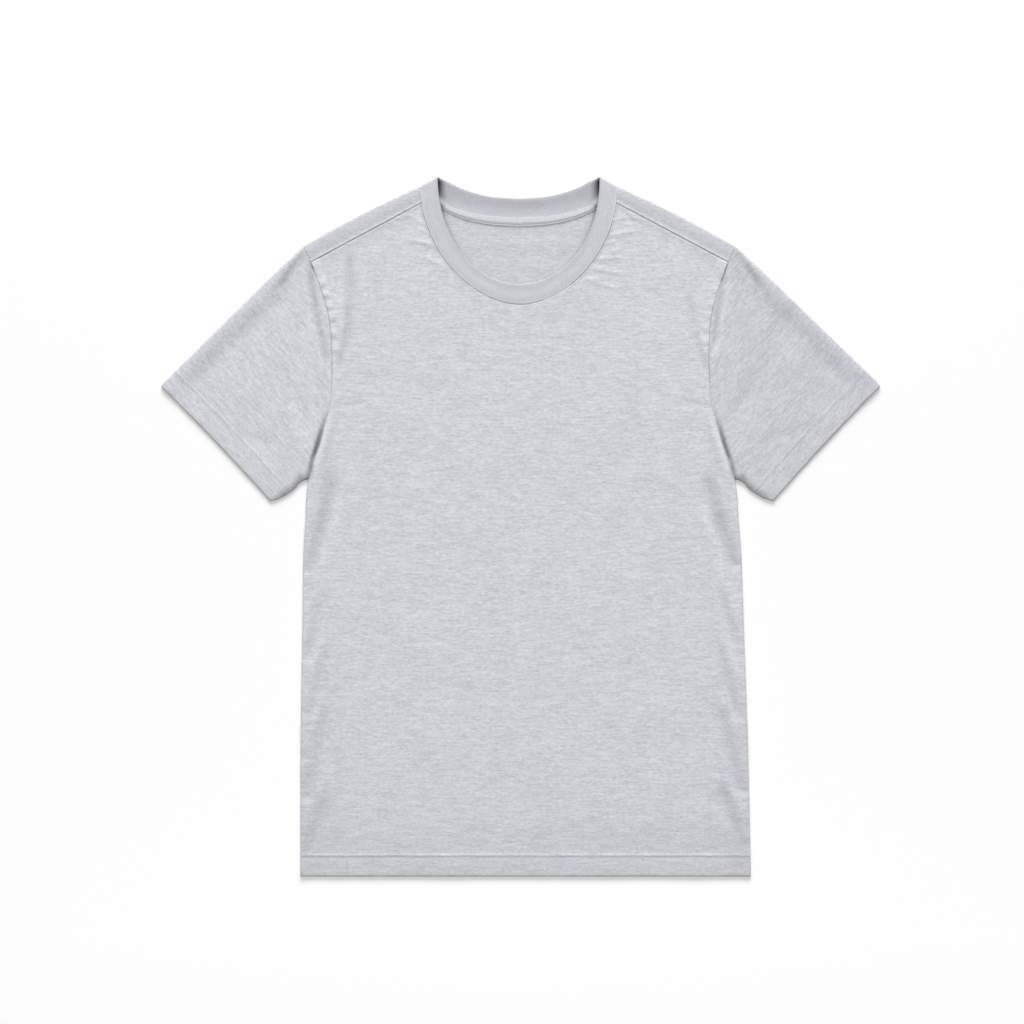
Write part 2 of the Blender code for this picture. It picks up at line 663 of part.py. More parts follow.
def band_stations():
    """Half of the neckband from the centre back: the outer face's seam edge and free edge, and which way is
    out."""
    seams, frees, outs = [], [], []
    back = crowded_end(BAND_STATIONS_BACK, BAND_CROWDING)
    for seam, free in zip(divide(BACK_SEAM_RUN, back), divide(BACK_BAND_RUN, back)):
        seams.append((*seam, 0.0))
        frees.append((*free, 0.0))
        outs.append((0.0, 0.0, -1.0))
    for angle in even(FOLD_STEPS)[1:-1] * np.pi:
        slip = FOLD_SLIP * (1 - angle / np.pi)
        shift = FOLD_RADIUS * math.sin(angle) * SHOULDER_OUT - slip * SHOULDER_ALONG
        z = FOLD_RADIUS * (1 - math.cos(angle))
        seams.append((*(FRONT_SEAM_RUN[-1] + shift), z))
        frees.append((*(FRONT_BAND_RUN[-1] + shift), z))
        outs.append((*(math.sin(angle) * SHOULDER_OUT), -math.cos(angle)))
    front = 1 - crowded(BAND_STATIONS_FRONT, BAND_CROWDING)
    for part, seam, free in zip(front, divide(FRONT_SEAM_RUN, front), divide(FRONT_BAND_RUN, front)):
        z = BAND_FRONT_TOP + (2 * FOLD_RADIUS - BAND_FRONT_TOP) * fall((1 - part) / BAND_PEAK_REACH)
        seams.append((*seam, z))
        frees.append((*free, z))
        outs.append((0.0, 0.0, 1.0))
    seams, frees, outs = np.array(seams), np.array(frees), np.array(outs)
    across = frees - seams
    seams = seams + SEAM_GAP * across / np.linalg.norm(across, axis=1, keepdims=True)
    return seams, frees, outs


def make_neckband():
    seams, frees, outs = band_stations()
    crown = BAND_CROWN * np.maximum(outs[:, 2], 0.0)[:, None] * BAND_SECTION["crown"]
    half = (
        seams[:, None]
        + (frees - seams)[:, None] * BAND_SECTION["across"][None, :, None]
        + outs[:, None] * (crown - RIB * BAND_SECTION["inward"])[..., None]
    )
    other = (half * (-1, 1, 1))[::-1]
    ring = lean(np.concatenate([half, other[1:-1]]))
    mesh = bmesh.new()
    add_block(mesh, np.concatenate([ring, ring[:1]]), closed_rows=True)
    return finished("neckband", mesh, RIB_GREY)


# The tape lies along the back neck seam, on the panel: where it starts and ends below the seam
TAPE_DEPTH = 0.0083
TAPE_HALF_LENGTH = 0.80     # as a fraction of the half back neck seam
TAPE_STATIONS = 12


def make_neck_tape():
    fractions = TAPE_HALF_LENGTH * np.linspace(-1.0, 1.0, 2 * TAPE_STATIONS + 1)
    seam = divide(BACK_SEAM_RUN, np.abs(fractions))
    seam[:, 0] *= np.sign(fractions)
    along = np.gradient(seam, axis=0)
    down = np.stack([along[:, 1], -along[:, 0]], axis=-1)
    down /= np.linalg.norm(down, axis=-1, keepdims=True)
    upper, lower = seam + SEAM_GAP * down, seam + (SEAM_GAP + TAPE_DEPTH) * down
    bottom = JERSEY + SEAM_GAP
    section = [(upper, bottom), (upper, bottom + TAPE), (lower, bottom + TAPE), (lower, bottom)]
    points = np.stack([with_height(edge, z) for edge, z in section], axis=1)
    mesh = bmesh.new()
    verts = add_block(mesh, lean(points), closed_rows=True)
    mesh.faces.new(verts[0])
    mesh.faces.new(verts[-1][::-1])
    return finished("neck_tape", mesh, TAPE_GREY)


def main():
    for old in list(bpy.data.objects):
        bpy.data.objects.remove(old, do_unlink=True)
    make_back()
    make_front()
    make_sleeve("sleeve_left", 1)
    make_sleeve("sleeve_right", -1)
    make_neckband()
    make_neck_tape()


main()
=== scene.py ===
"""Crew neck T-shirt of heather grey jersey, laid flat on its back: the dressed model.

Units are metres. +X is the wearer's left, +Y the neck end and +Z up from the surface that the shirt lies on.
The pieces are worked out from the same sizes as the solids, with finer creases, seams and stitches.
"""

import math

import bmesh
import bpy
import numpy as np
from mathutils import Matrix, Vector, noise


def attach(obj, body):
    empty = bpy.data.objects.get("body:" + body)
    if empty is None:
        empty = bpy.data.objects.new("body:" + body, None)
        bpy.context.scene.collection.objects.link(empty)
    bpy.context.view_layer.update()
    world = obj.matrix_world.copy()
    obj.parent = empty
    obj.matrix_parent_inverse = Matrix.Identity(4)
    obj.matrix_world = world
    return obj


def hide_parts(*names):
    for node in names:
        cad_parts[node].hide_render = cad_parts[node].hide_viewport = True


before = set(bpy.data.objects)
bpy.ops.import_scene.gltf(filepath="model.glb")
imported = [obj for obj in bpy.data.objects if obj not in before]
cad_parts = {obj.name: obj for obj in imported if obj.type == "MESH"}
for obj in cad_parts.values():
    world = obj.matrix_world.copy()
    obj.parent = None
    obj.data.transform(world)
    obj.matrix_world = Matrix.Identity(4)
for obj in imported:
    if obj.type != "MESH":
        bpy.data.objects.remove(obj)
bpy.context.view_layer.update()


def table(columns, *rows):
    """One array for each named column."""
    return dict(zip(columns.split(), np.array(rows, float).T))


def mm_table(columns, *rows):
    """The same in metres, from rows in millimetres."""
    return table(columns, *np.array(rows, float) / 1000)


# ---- sizes of the solids ----

JERSEY = 0.0010
HEM_CLOTH = 0.0012
RIB = 0.0018
SEAM_GAP = 0.0001
BAND_GAP = 0.00006

LAYER_TOP = 0.0040
END_DROP = 0.0012           # how much lower the layer lies at a hem or cuff, and within what distance of it
BODY_END_REACH = 0.130
SLEEVE_END_REACH = 0.090
NECK_SEAM_TOP = 0.0046
SHOULDER_SEAM_TOP = 0.0050
BAND_FRONT_TOP = 0.0052
SLEEVE_FOLD_TOP = 0.0061

FOLD_RADIUS = 0.0032
SIDE_RADIUS = 0.0024
SIDE_RADIUS_AT_HEM = 0.0015
FOLD_SLIP = 0.0035
NECK_REACH = 0.030
SHOULDER_REACH = 0.013
SLEEVE_FOLD_REACH = 0.027

SHOULDER_NECK = np.array([0.1089, 0.3747])
SHOULDER_ARM = np.array([0.2372, 0.3092])
SHOULDER_BOW = 0.0020
SHOULDER_BOW_REACH = 0.016
SEAM_NECK_LEVEL = 0.3571
SEAM_ARM_LEVEL = 0.2920

LEAN = 0.0100
LEAN_LEVEL = 0.1785

BODY_EDGE = table(
    "level x front_curl back_curl front_top front_reach sleeve_top sleeve_reach",
    (-0.3841, 0.2480, 0.89, 0.89, 0.0044, 0.010, 0.0034, 0.010),
    (-0.2338, 0.2459, 0.89, 0.89, 0.0048, 0.010, 0.0034, 0.010),
    (-0.0800, 0.2420, 0.89, 0.89, 0.0048, 0.012, 0.0034, 0.010),
    (-0.0280, 0.2408, 0.89, 0.89, 0.0050, 0.018, 0.0034, 0.010),
    (0.0083,  0.2382, 0.89, 0.89, 0.0052, 0.024, 0.0034, 0.010),
    (0.0540,  0.2344, 0.89, 0.89, 0.0052, 0.024, 0.0030, 0.006),
    (0.0710,  0.2295, 0.89, 0.30, 0.0054, 0.022, 0.0024, 0.005),
    (0.0900,  0.2225, 0.89, 0.00, 0.0056, 0.020, 0.0022, 0.005),
    (0.1130,  0.2165, 0.80, 0.00, 0.0054, 0.018, 0.0023, 0.006),
    (0.1360,  0.2095, 0.25, 0.00, 0.0048, 0.016, 0.0042, 0.012),
    (0.1590,  0.2078, 0.00, 0.00, 0.0045, 0.016, 0.0047, 0.018),
    (0.1900,  0.2074, 0.00, 0.00, 0.0044, 0.016, 0.0048, 0.020),
    (0.2162,  0.2083, 0.00, 0.00, 0.0044, 0.016, 0.0048, 0.020),
    (0.2410,  0.2122, 0.00, 0.00, 0.0045, 0.018, 0.0048, 0.020),
    (0.2668,  0.2200, 0.00, 0.00, 0.0046, 0.020, 0.0050, 0.020),
    (0.2935,  0.2300, 0.00, 0.00, 0.0049, 0.022, 0.0051, 0.020),
    (0.3092,  0.2372, 0.00, 0.00, 0.0050, 0.022, 0.0052, 0.020),
)
HEM_LEVEL = -0.3841
ARMPIT_LEVEL = 0.1360
FOLD_ARM_LEVEL = 0.3064
UNDERARM_LEVEL = 0.0540

FRONT_NECK_SEAM = {"half_width": 0.1080, "depth": 0.1257, "level": 0.3716, "power": 1.85}
FRONT_BAND_EDGE = {"half_width": 0.0888, "depth": 0.1143, "level": 0.3821, "power": 2.0}
BACK_NECK_SEAM = mm_table("x level", (0.0, 340.1), (36.6, 342.5), (58.5, 346.7), (75.4, 352.5), (86.9, 358.7))
BACK_BAND_EDGE = mm_table(
    "x level",
    (0.0,  362.1),
    (32.5, 364.7),
    (44.0, 367.1),
    (55.0, 370.4),
    (66.0, 374.5),
    (76.5, 379.7),
)
SLEEVE_TOP_FOLD = mm_table(
    "x level radius",
    (237.2, 309.2, 3.2),
    (247.2, 299.9, 3.1),
    (260.4, 288.0, 3.1),
    (273.6, 275.5, 3.0),
    (326.5, 223.8, 2.9),
    (396.4, 155.8, 2.8),
)
SLEEVE_UNDERARM_FOLD = mm_table(
    "x level radius",
    (234.4, 54.0, 1.8),
    (242.1, 52.2, 1.8),
    (246.5, 49.5, 1.9),
    (250.9, 44.5, 2.0),
    (257.5, 39.8, 2.2),
    (277.6, 29.1, 2.4),
)
CUFF_BOW = 0.0012
CUFF_CORNER = mm_table("from_edge recess", (0, 1.4), (2, 0.4), (5, 0.0))
ARMHOLE_DRAW = 0.025
ROLL_SQUARENESS = 0.45      # below 1, a fold's roll is squarer than a half circle
FOLD_PROUD = 1.18           # how much further out the shoulder and sleeve folds' rolls go than their radius
PEAK_PROUD = 1.08
UNDER_SQUARENESS = 0.75
UNDER_PROUD = table("part proud", (0.0, 1.20), (0.2, 2.05), (0.8, 2.05), (1.0, 1.40))
# The groove between body and sleeve, from the armpit down: how much further the body's edge turns down
GROOVE = table(
    "level deeper",
    (0.040, 0.00),
    (0.060, 0.25),
    (0.080, 0.35),
    (0.110, 0.35),
    (0.126, 0.20),
    (0.138, 0.00),
)

# A turned-up edge: its outer face over the layer's own, and its wall. Its stitching pulls a groove.
HEM_PROFILE = mm_table(
    "from_edge lift wall",
    (0.0,  -0.80, 0.8),
    (0.4,  -0.45, 0.9),
    (0.9,  -0.10, 1.0),
    (1.6,   0.08, 1.1),
    (2.8,   0.18, 1.2),
    (6.0,   0.20, 1.2),
    (11.0,  0.20, 1.2),
    (16.3,  0.18, 1.2),
    (18.6,  0.12, 1.2),
    (19.9,  0.02, 1.1),
    (21.2, -0.01, 1.0),
    (22.0,  0.18, 1.0),
    (22.8,  0.42, 1.0),
    (23.5,  0.52, 1.0),
    (24.2,  0.38, 1.0),
    (25.1,  0.14, 1.0),
    (26.2,  0.03, 1.0),
    (27.5,  0.00, 1.0),
    (33.0,  0.00, 1.0),
)

# ---- folds and creases: soft troughs (negative) and ridges. Negative x is the wearer's right ----

FRONT_FOLDS = mm_table(
    "x0 y0 x1 y1 width height",
    (-186.6,  290.0, -188.5,  230, 4.8, -1.3),
    (-190.0,  215.5, -197.5,  183, 4.5, -1.4),
    (187.1,   247.0,  190.0,  226, 4.2, -0.8),
    (193.0,   208.0,  202.0,  178, 4.2, -0.9),
    (-212.0,   38.0, -217.0,   15, 8.4, -1.6),
    (-221.5,   -3.0, -231.5,  -36, 7.6, -1.5),
    (-202.0,   22.0, -220.0,  -38, 6.0,  0.6),
    (208.5,    38.0,  215.0,   15, 8.4, -1.7),
    (220.5,    -3.0,  231.5,  -36, 7.8, -1.6),
    (200.0,    18.0,  219.0,  -42, 6.0,  0.5),
    (196.0,  -300.0,  240.0, -350, 8.0,  0.4),
    (-214.0,  112.0, -217.8,   97, 2.6,  0.3),
    (-219.8,   89.0, -225.2,   78, 2.6,  0.3),
    (214.0,   112.0,  217.8,   97, 2.6,  0.3),
    (219.8,    89.0,  225.2,   78, 2.6,  0.3),
)
SLEEVE_FOLDS = mm_table(
    "x0 y0 x1 y1 width height",
    (-227.2, 287.7, -229.0, 270.6, 3.8, -1.6),
    (-228.6, 258.0, -226.5, 244.8, 4.2, -1.4),
    (-223.9, 230.9, -214.9, 189.8, 4.5, -1.1),
    (226.2,  287.0,  224.0, 274.0, 3.0, -1.6),
    (222.5,  264.0,  214.0, 205.0, 3.0, -1.2),
    (229.0,  260.0,  216.5, 190.0, 3.6,  0.7),
    (-243.0, 294.0, -259.0, 269.8, 5.0, -1.6),
    (-276.0, 248.0, -354.0, 170.0, 8.0, -0.6),
    (244.0,  295.0,  260.0, 270.0, 5.0, -1.5),
    (276.0,  248.0,  354.0, 170.0, 9.0, -0.3),
    (-252.0, 120.0, -232.0,  82.0, 8.0,  0.3),
    (250.0,  124.0,  231.0,  80.0, 8.0,  0.3),
)
# Finer ones: ripples that the neck seam gathers, drags beside the armholes and dips along the side seams
FRONT_CREASES = mm_table(
    "x0 y0 x1 y1 width height",
    (-126.0,  319,  -98.0,  312, 2.6,  0.60),
    (-118.0,  342, -108.0,  336, 2.2,  0.52),
    (-132.0,  341, -122.0,  343, 2.0,  0.32),
    (-109.0,  328, -101.0,  324, 1.8,  0.36),
    (-100.0,  296,  -87.0,  289, 2.4,  0.48),
    (-127.0,  275,  -98.0,  272, 3.0,  0.22),
    (106.0,   339,  115.0,  341, 1.8,  0.56),
    (118.0,   347,  124.0,  344, 1.8,  0.47),
    (126.0,   341,  134.0,  338, 2.0,  0.39),
    (104.0,   322,  124.0,  326, 2.0,  0.60),
    (98.0,    313,  104.0,  315, 1.8,  0.47),
    (95.0,    301,  107.0,  306, 1.8,  0.34),
    (91.0,    296,  108.0,  297, 2.2,  0.69),
    (83.0,    285,  108.0,  280, 2.2,  0.56),
    (76.0,    275,   84.0,  273, 1.8,  0.34),
    (77.0,    272,  101.0,  265, 2.2,  0.52),
    (-194.0,  290, -198.0,  200, 4.0,  0.30),
    (197.0,   250,  202.0,  200, 3.8,  0.30),
    (-204.0,  132, -180.0,  136, 3.0, -0.45),
    (204.0,   132,  184.0,  138, 3.0, -0.40),
    (-227.0,  -92, -234.5, -130, 5.2, -1.00),
    (-219.5, -142, -234.5, -200, 5.2, -0.85),
    (-222.0, -212, -237.5, -284, 6.2, -0.95),
    (-223.5, -308, -238.5, -351, 6.2, -1.05),
    (222.2,   -82,  233.1, -124, 4.8, -0.90),
    (218.0,  -140,  232.0, -195, 5.0, -1.05),
    (219.0,  -210,  236.1, -280, 5.6, -1.20),
    (220.5,  -294,  236.8, -346, 5.8, -1.25),
    (-223.5,  -56, -234.5,  -91, 4.5,  0.30),
    (-221.2, -129, -234.1, -157, 4.2,  0.45),
    (-222.9, -195, -234.5, -221, 4.2,  0.40),
    (-222.5, -283, -238.3, -309, 4.5,  0.50),
    (218.0,   -45,  233.5,  -91, 4.5,  0.45),
    (221.2,  -129,  234.1, -157, 4.2,  0.40),
    (222.9,  -195,  234.5, -221, 4.2,  0.45),
    (222.5,  -283,  238.3, -309, 4.5,  0.50),
    (-175.0,  -78, -118.0,  -86, 3.5, -0.28),
    (150.0,   -18,  205.0,  -12, 4.5, -0.30),
    (-90.0,  -172,  -40.0, -180, 4.5, -0.25),
)
SLEEVE_CREASES = mm_table(
    "x0 y0 x1 y1 width height",
    (-236, 262, -222, 196, 3.5,  0.30),
    (222,  258,  219, 196, 3.5,  0.25),
    (-262, 175, -238, 128, 6.0, -0.30),
    (272,  190,  236, 132, 7.0, -0.40),
    (300,  238,  262, 196, 8.0, -0.35),
    (330,  196,  296, 160, 7.0, -0.30),
    (-302, 100, -262,  92, 6.0, -0.25),
    (318,  112,  268,  96, 6.0, -0.30),
)
# The underside rests flat, with shallow dents where the cloth stands off the surface
BACK_CREASES = mm_table(
    "x0 y0 x1 y1 width height",
    (-186,  250, -196,  170, 6.0, 0.30),
    (190,   240,  198,  165, 5.5, 0.30),
    (-206,   50, -224,  -20, 7.0, 0.35),
    (204,    46,  222,  -30, 7.0, 0.35),
    (-226, -120, -232, -196, 6.0, 0.30),
    (224,  -100,  234, -170, 6.0, 0.30),
    (-224, -230, -234, -300, 6.0, 0.30),
    (222,  -230,  236, -310, 6.0, 0.35),
    (-150,   20,  -70,   12, 4.0, 0.20),
    (60,    -90,  150,  -80, 4.0, 0.20),
    (-120, -220,  -40, -228, 4.0, 0.18),
)
# Soft ridges of the back's cloth below its neck seam, inside
INSIDE_CREASES = mm_table(
    "x0 y0 x1 y1 width height",
    (-52, 313, 58, 314, 5.5, 0.30),
    (-40, 292, 30, 290, 6.0, 0.18),
)
# Where the side seams are caught up, and the puckers of the body's cloth at the armhole seam
SIDE_NICKS = table(
    "side level",
    *((-1, level) for level in (-0.047, -0.143, -0.205, -0.254, -0.297)),
    *((1, level) for level in (-0.041, -0.070, -0.140, -0.208, -0.290, -0.349)),
)
ARM_PUCKERS = table(
    "side level size",
    (-1, 0.2877, 0.5),
    (-1, 0.2790, 0.5),
    (-1, 0.2679, 1.3),
    (-1, 0.2558, 1.4),
    (-1, 0.2426, 1.1),
    (-1, 0.2305, 1.0),
    (-1, 0.2140, 1.0),
    (-1, 0.1964, 0.8),
    (1,  0.2860, 0.4),
    (1,  0.2778, 0.5),
    (1,  0.2602, 0.6),
    (1,  0.2448, 0.6),
    (1,  0.2327, 0.6),
    (1,  0.2184, 0.5),
    (1,  0.2041, 0.6),
    (1,  0.1930, 0.5),
)
NICK_DIP = 0.0008
NICK_INSET = 0.0045         # from the body's edge
NICK_REACH = (0.0060, 0.0028)
NICK_RISE_PART = 0.6        # of the rise below a nick, against its dip
NICK_RISE_STEP = (0.0, 0.0055)
NICK_RISE_REACH = (0.0070, 0.0035)
PUCKER_HEIGHT = 0.00095
PUCKER_INSET = 0.0042
PUCKER_REACH = (0.0032, 0.0038)
PUCKER_HOLLOW_PART = -0.45  # of the hollow below a pucker, against its height
PUCKER_HOLLOW_INSET = 0.0030
PUCKER_HOLLOW_STEP = (0.0, 0.0058)
PUCKER_HOLLOW_REACH = (0.0030, 0.0016)
SEAM_DIP = 0.00035          # how far the cloth's outer face sinks at a seam, and within what distance
SEAM_DIP_REACH = 0.0014
NECK_DIP, SHOULDER_DIP, ARM_DIP, SLEEVE_DIP = 0.12, 0.8, 0.6, 0.7       # how much of that is at each seam
STITCH_DEPTH = 0.0212       # of the stitching in from a hem or cuff
NECK_STITCH = 0.0024        # how far it lies from the neck seam

# ---- mesh ----

CHEST_COLUMNS = 58
CHEST_CROWDING = 0.7
BODY_ROWS = 112
ARMPIT_ROWS = 40
ARM_ROWS = 78
STRIP_ROWS = 12
YOKE_STEPS = 66
FOLD_STEPS = 16
UNDER_FOLD_STEPS = 12
SLEEVE_RINGS = 110
SLEEVE_CROWDING = 0.7
BAND_STATIONS_BACK = 70
BAND_STATIONS_FRONT = 130
BAND_CROWDING = 0.3
ROLL_PARTS = np.array([0.12, 0.24, 0.36, 0.48, 0.60, 0.72, 0.82, 0.91, 1.0])
LEAST_CURL, MOST_CURL = 0.001, 0.89
CURVE_POINTS = 500
WELD = 0.00001


# ---- curves in plan ----

def fall(x):
    """1 at 0, falling smoothly to 0 at 1 and beyond."""
    x = np.clip(x, 0.0, 1.0)
    return (1 - x) ** 2 * (1 + 2 * x)


def bell(x):
    """1 at 0, dying away smoothly to both sides."""
    return np.exp(-x ** 2)


def unit(vectors):
    return vectors / np.linalg.norm(vectors, axis=-1, keepdims=True)


def right_of(ways):
    """Directions a quarter turn to the right."""
    return np.stack([ways[..., 1], -ways[..., 0]], axis=-1)


def half_of(plan):
    """Places on either half, as if on the wearer's left."""
    return np.stack([np.abs(plan[..., 0]), plan[..., 1]], axis=-1)


def knots_of(rows):
    return np.stack([rows["x"], rows["level"]], axis=-1)


def spline(knots, values, at):
    """A smooth curve through the rows (knots, values), read at the places `at`."""
    knots, values, at = np.asarray(knots), np.asarray(values), np.asarray(at, float)
    slopes = np.gradient(values, knots, axis=0)
    i = np.clip(np.searchsorted(knots, at, side="right") - 1, 0, len(knots) - 2)
    step = knots[i + 1] - knots[i]
    t = np.clip((at - knots[i]) / step, 0.0, 1.0)
    if values.ndim > 1:
        t, step = t[..., None], step[..., None]
    return (
        values[i] * (1 + 2 * t) * (1 - t) ** 2
        + slopes[i] * step * t * (1 - t) ** 2
        + values[i + 1] * t * t * (3 - 2 * t)
        + slopes[i + 1] * step * t * t * (t - 1)
    )


def lengths(points):
    """Distance along a run of points, from its first."""
    steps = np.linalg.norm(np.diff(points, axis=0), axis=1)
    return np.concatenate([[0.0], np.cumsum(steps)])


def smooth_run(points):
    """A closely spaced smooth run through a few points."""
    along = lengths(points)
    return spline(along, points, np.linspace(0.0, along[-1], CURVE_POINTS))


def divide(points, fractions):
    """Places on a run of points at fractions of its length."""
    along = lengths(points)
    at = np.asarray(fractions) * along[-1]
    return np.stack([np.interp(at, along, points[:, k]) for k in range(points.shape[1])], axis=-1)


def even(count):
    return np.linspace(0.0, 1.0, count + 1)


def crowded(count, crowding=0.6):
    """Fractions from 0 to 1 that lie closer together near both ends."""
    t = even(count)
    return t * (1 - crowding) + crowding * (1 - np.cos(np.pi * t)) / 2


def crowded_end(count, crowding):
    """Fractions from 0 to 1 that lie closer together near 1."""
    t = even(count)
    return t * (1 - crowding) + crowding * np.sin(np.pi * t / 2)


def superellipse(half_width, depth, level, power):
    """Run from the centre front up to the given level, where the edge is half_width from the centre."""
    angle = np.linspace(0.0, np.pi / 2, CURVE_POINTS)
    x = half_width * np.sin(angle) ** (2 / power)
    y = level - depth * np.cos(angle) ** (2 / power)
    return np.stack([x, y], axis=-1)


def below(run, level):
    """The part of a rising run that lies below a level, ending on it."""
    kept = run[run[:, 1] < level]
    return np.vstack([kept, [np.interp(level, run[:, 1], run[:, 0]), level]])


def edge_column(name, level):
    return spline(BODY_EDGE["level"], BODY_EDGE[name], level)


def edge_at(level):
    """Points and outward normals of the body's edge at the given levels."""
    level = np.asarray(level, float)
    nudge = 0.0005
    x = edge_column("x", level)
    slope = (edge_column("x", level + nudge) - x) / nudge
    return np.stack([x, level], axis=-1), unit(np.stack([np.ones_like(x), -slope], axis=-1))


def side_radius(level):
    part = fall((np.asarray(level) - HEM_LEVEL) / BODY_END_REACH)
    return SIDE_RADIUS + (SIDE_RADIUS_AT_HEM - SIDE_RADIUS) * part


SHOULDER_ALONG = unit(SHOULDER_ARM - SHOULDER_NECK)
SHOULDER_OUT = -right_of(SHOULDER_ALONG)
FRONT_SEAM_RUN = superellipse(**FRONT_NECK_SEAM)
FRONT_BAND_RUN = superellipse(**FRONT_BAND_EDGE)


def run_to_fold(points, fold_end):
    """Smooth run through a table's points and on to the shoulder fold's roll, below."""
    start = fold_end - FOLD_SLIP * SHOULDER_ALONG
    return smooth_run(np.vstack([knots_of(points), start]))


BACK_SEAM_RUN = run_to_fold(BACK_NECK_SEAM, FRONT_SEAM_RUN[-1])
BACK_BAND_RUN = run_to_fold(BACK_BAND_EDGE, FRONT_BAND_RUN[-1])


# ---- heights ----

def blend(*lifts):
    """Lifts that meet, such as at a corner, give about the larger one."""
    return sum(np.maximum(lift, 0.0) ** 4 for lift in lifts) ** 0.25


def nearest(plan, run):
    """Distance from each place to a run of points, and where on the run that is, counted in points."""
    flat = plan.reshape(-1, 2)
    chunks = np.array_split(flat, 1 + len(flat) // 3000)
    found = np.concatenate([((part[:, None] - run) ** 2).sum(-1).argmin(1) for part in chunks])
    found = np.clip(found, 1, len(run) - 2)
    before, line = run[found - 1], run[found + 1] - run[found - 1]
    part = np.clip(((flat - before) * line).sum(-1) / (line ** 2).sum(-1), 0.0, 1.0)
    gap = np.linalg.norm(flat - before - line * part[:, None], axis=-1)
    return gap.reshape(plan.shape[:-1]), (found - 1 + 2 * part).reshape(plan.shape[:-1])


def folds(plan, rows):
    """Sum of soft troughs and ridges along straight lines."""
    total = np.zeros(plan.shape[:-1])
    for x0, y0, x1, y1, width, height in zip(*rows.values()):
        start, line = np.array([x0, y0]), np.array([x1 - x0, y1 - y0])
        length = np.linalg.norm(line)
        along = (plan - start) @ line / length
        across = (plan - start) @ right_of(line) / length
        beyond = np.maximum(0.0, np.abs(along - length / 2) - length / 2)
        total += height * np.exp(-(across / width) ** 2 - (beyond / (2 * width)) ** 2)
    return total


def spots(plan, centres, heights, reach):
    """Sum of soft round bumps or dents."""
    total = np.zeros(plan.shape[:-1])
    for centre, height in zip(centres, heights):
        gap = (plan - centre) / reach
        total += height * np.exp(-(gap ** 2).sum(-1))
    return total


# Soft random relief: sizes, heights and offsets in the noise
FRONT_UNEVEN = ((0.055, 0.00030, 0.0), (0.018, 0.00008, 5.0))
SLEEVE_UNEVEN = ((0.050, 0.00035, 3.0), (0.018, 0.00008, 7.0))
BACK_UNEVEN = ((0.050, 0.00012, 9.0),)
SLEEVE_BACK_UNEVEN = ((0.045, 0.00030, 11.0),)


def unevenness(plan, layers):
    total = np.zeros(plan.shape[:-1])
    for size, height, offset in layers:
        flat = plan.reshape(-1, 2) / size
        values = [noise.noise(Vector((x, y, offset))) for x, y in flat]
        total += height * np.array(values).reshape(plan.shape[:-1])
    return total


def hem_lift(from_edge):
    return spline(HEM_PROFILE["from_edge"], HEM_PROFILE["lift"], from_edge)


def under_hem(from_edge):
    """How far a turned-up edge stands off the surface below, at its round fold and at its stitching."""
    return 0.0002 * fall(from_edge / 0.0012) + 0.00015 * bell((from_edge - STITCH_DEPTH) / 0.0008)


SHOULDER_SEAM_RUN = divide(
    np.vstack([below(FRONT_SEAM_RUN, SEAM_NECK_LEVEL)[-1], edge_at(SEAM_ARM_LEVEL)[0]]), even(CURVE_POINTS)
)
EDGE_LEVELS = np.linspace(HEM_LEVEL, FOLD_ARM_LEVEL, CURVE_POINTS)
EDGE_POINTS, EDGE_NORMALS = edge_at(EDGE_LEVELS)
INSET_RUN = EDGE_POINTS - side_radius(EDGE_LEVELS)[:, None] * EDGE_NORMALS


def nearest_edge(plan, run=EDGE_POINTS):
    """Distance from each place to the body's edge, or its inset, and level with what part of it."""
    gap, i = nearest(plan, run)
    return gap, np.interp(i, np.arange(CURVE_POINTS), EDGE_LEVELS)


def seam_dip(distance):
    return -SEAM_DIP * fall(distance / SEAM_DIP_REACH)


def beside_edge(rows, inwards):
    """Places at a table's levels and sides, this far inside the body's edge."""
    edge, normal = edge_at(rows["level"])
    return (edge - inwards * normal) * np.stack([rows["side"], np.ones(len(edge))], axis=-1)


def side_nicks(plan):
    """Dents where the side seams are caught up, with a soft rise just below each."""
    centres = beside_edge(SIDE_NICKS, NICK_INSET)
    dip = np.full(len(centres), NICK_DIP)
    dents = spots(plan, centres, -dip, NICK_REACH)
    return dents + spots(plan, centres - NICK_RISE_STEP, NICK_RISE_PART * dip, NICK_RISE_REACH)


def arm_puckers(plan):
    """Bumps beside the armhole seam, with a hollow just below each."""
    height = PUCKER_HEIGHT * ARM_PUCKERS["size"]
    bumps = spots(plan, beside_edge(ARM_PUCKERS, PUCKER_INSET), height, PUCKER_REACH)
    painted_shade_of = beside_edge(ARM_PUCKERS, PUCKER_HOLLOW_INSET) - PUCKER_HOLLOW_STEP
    return bumps + spots(plan, painted_shade_of, PUCKER_HOLLOW_PART * height, PUCKER_HOLLOW_REACH)


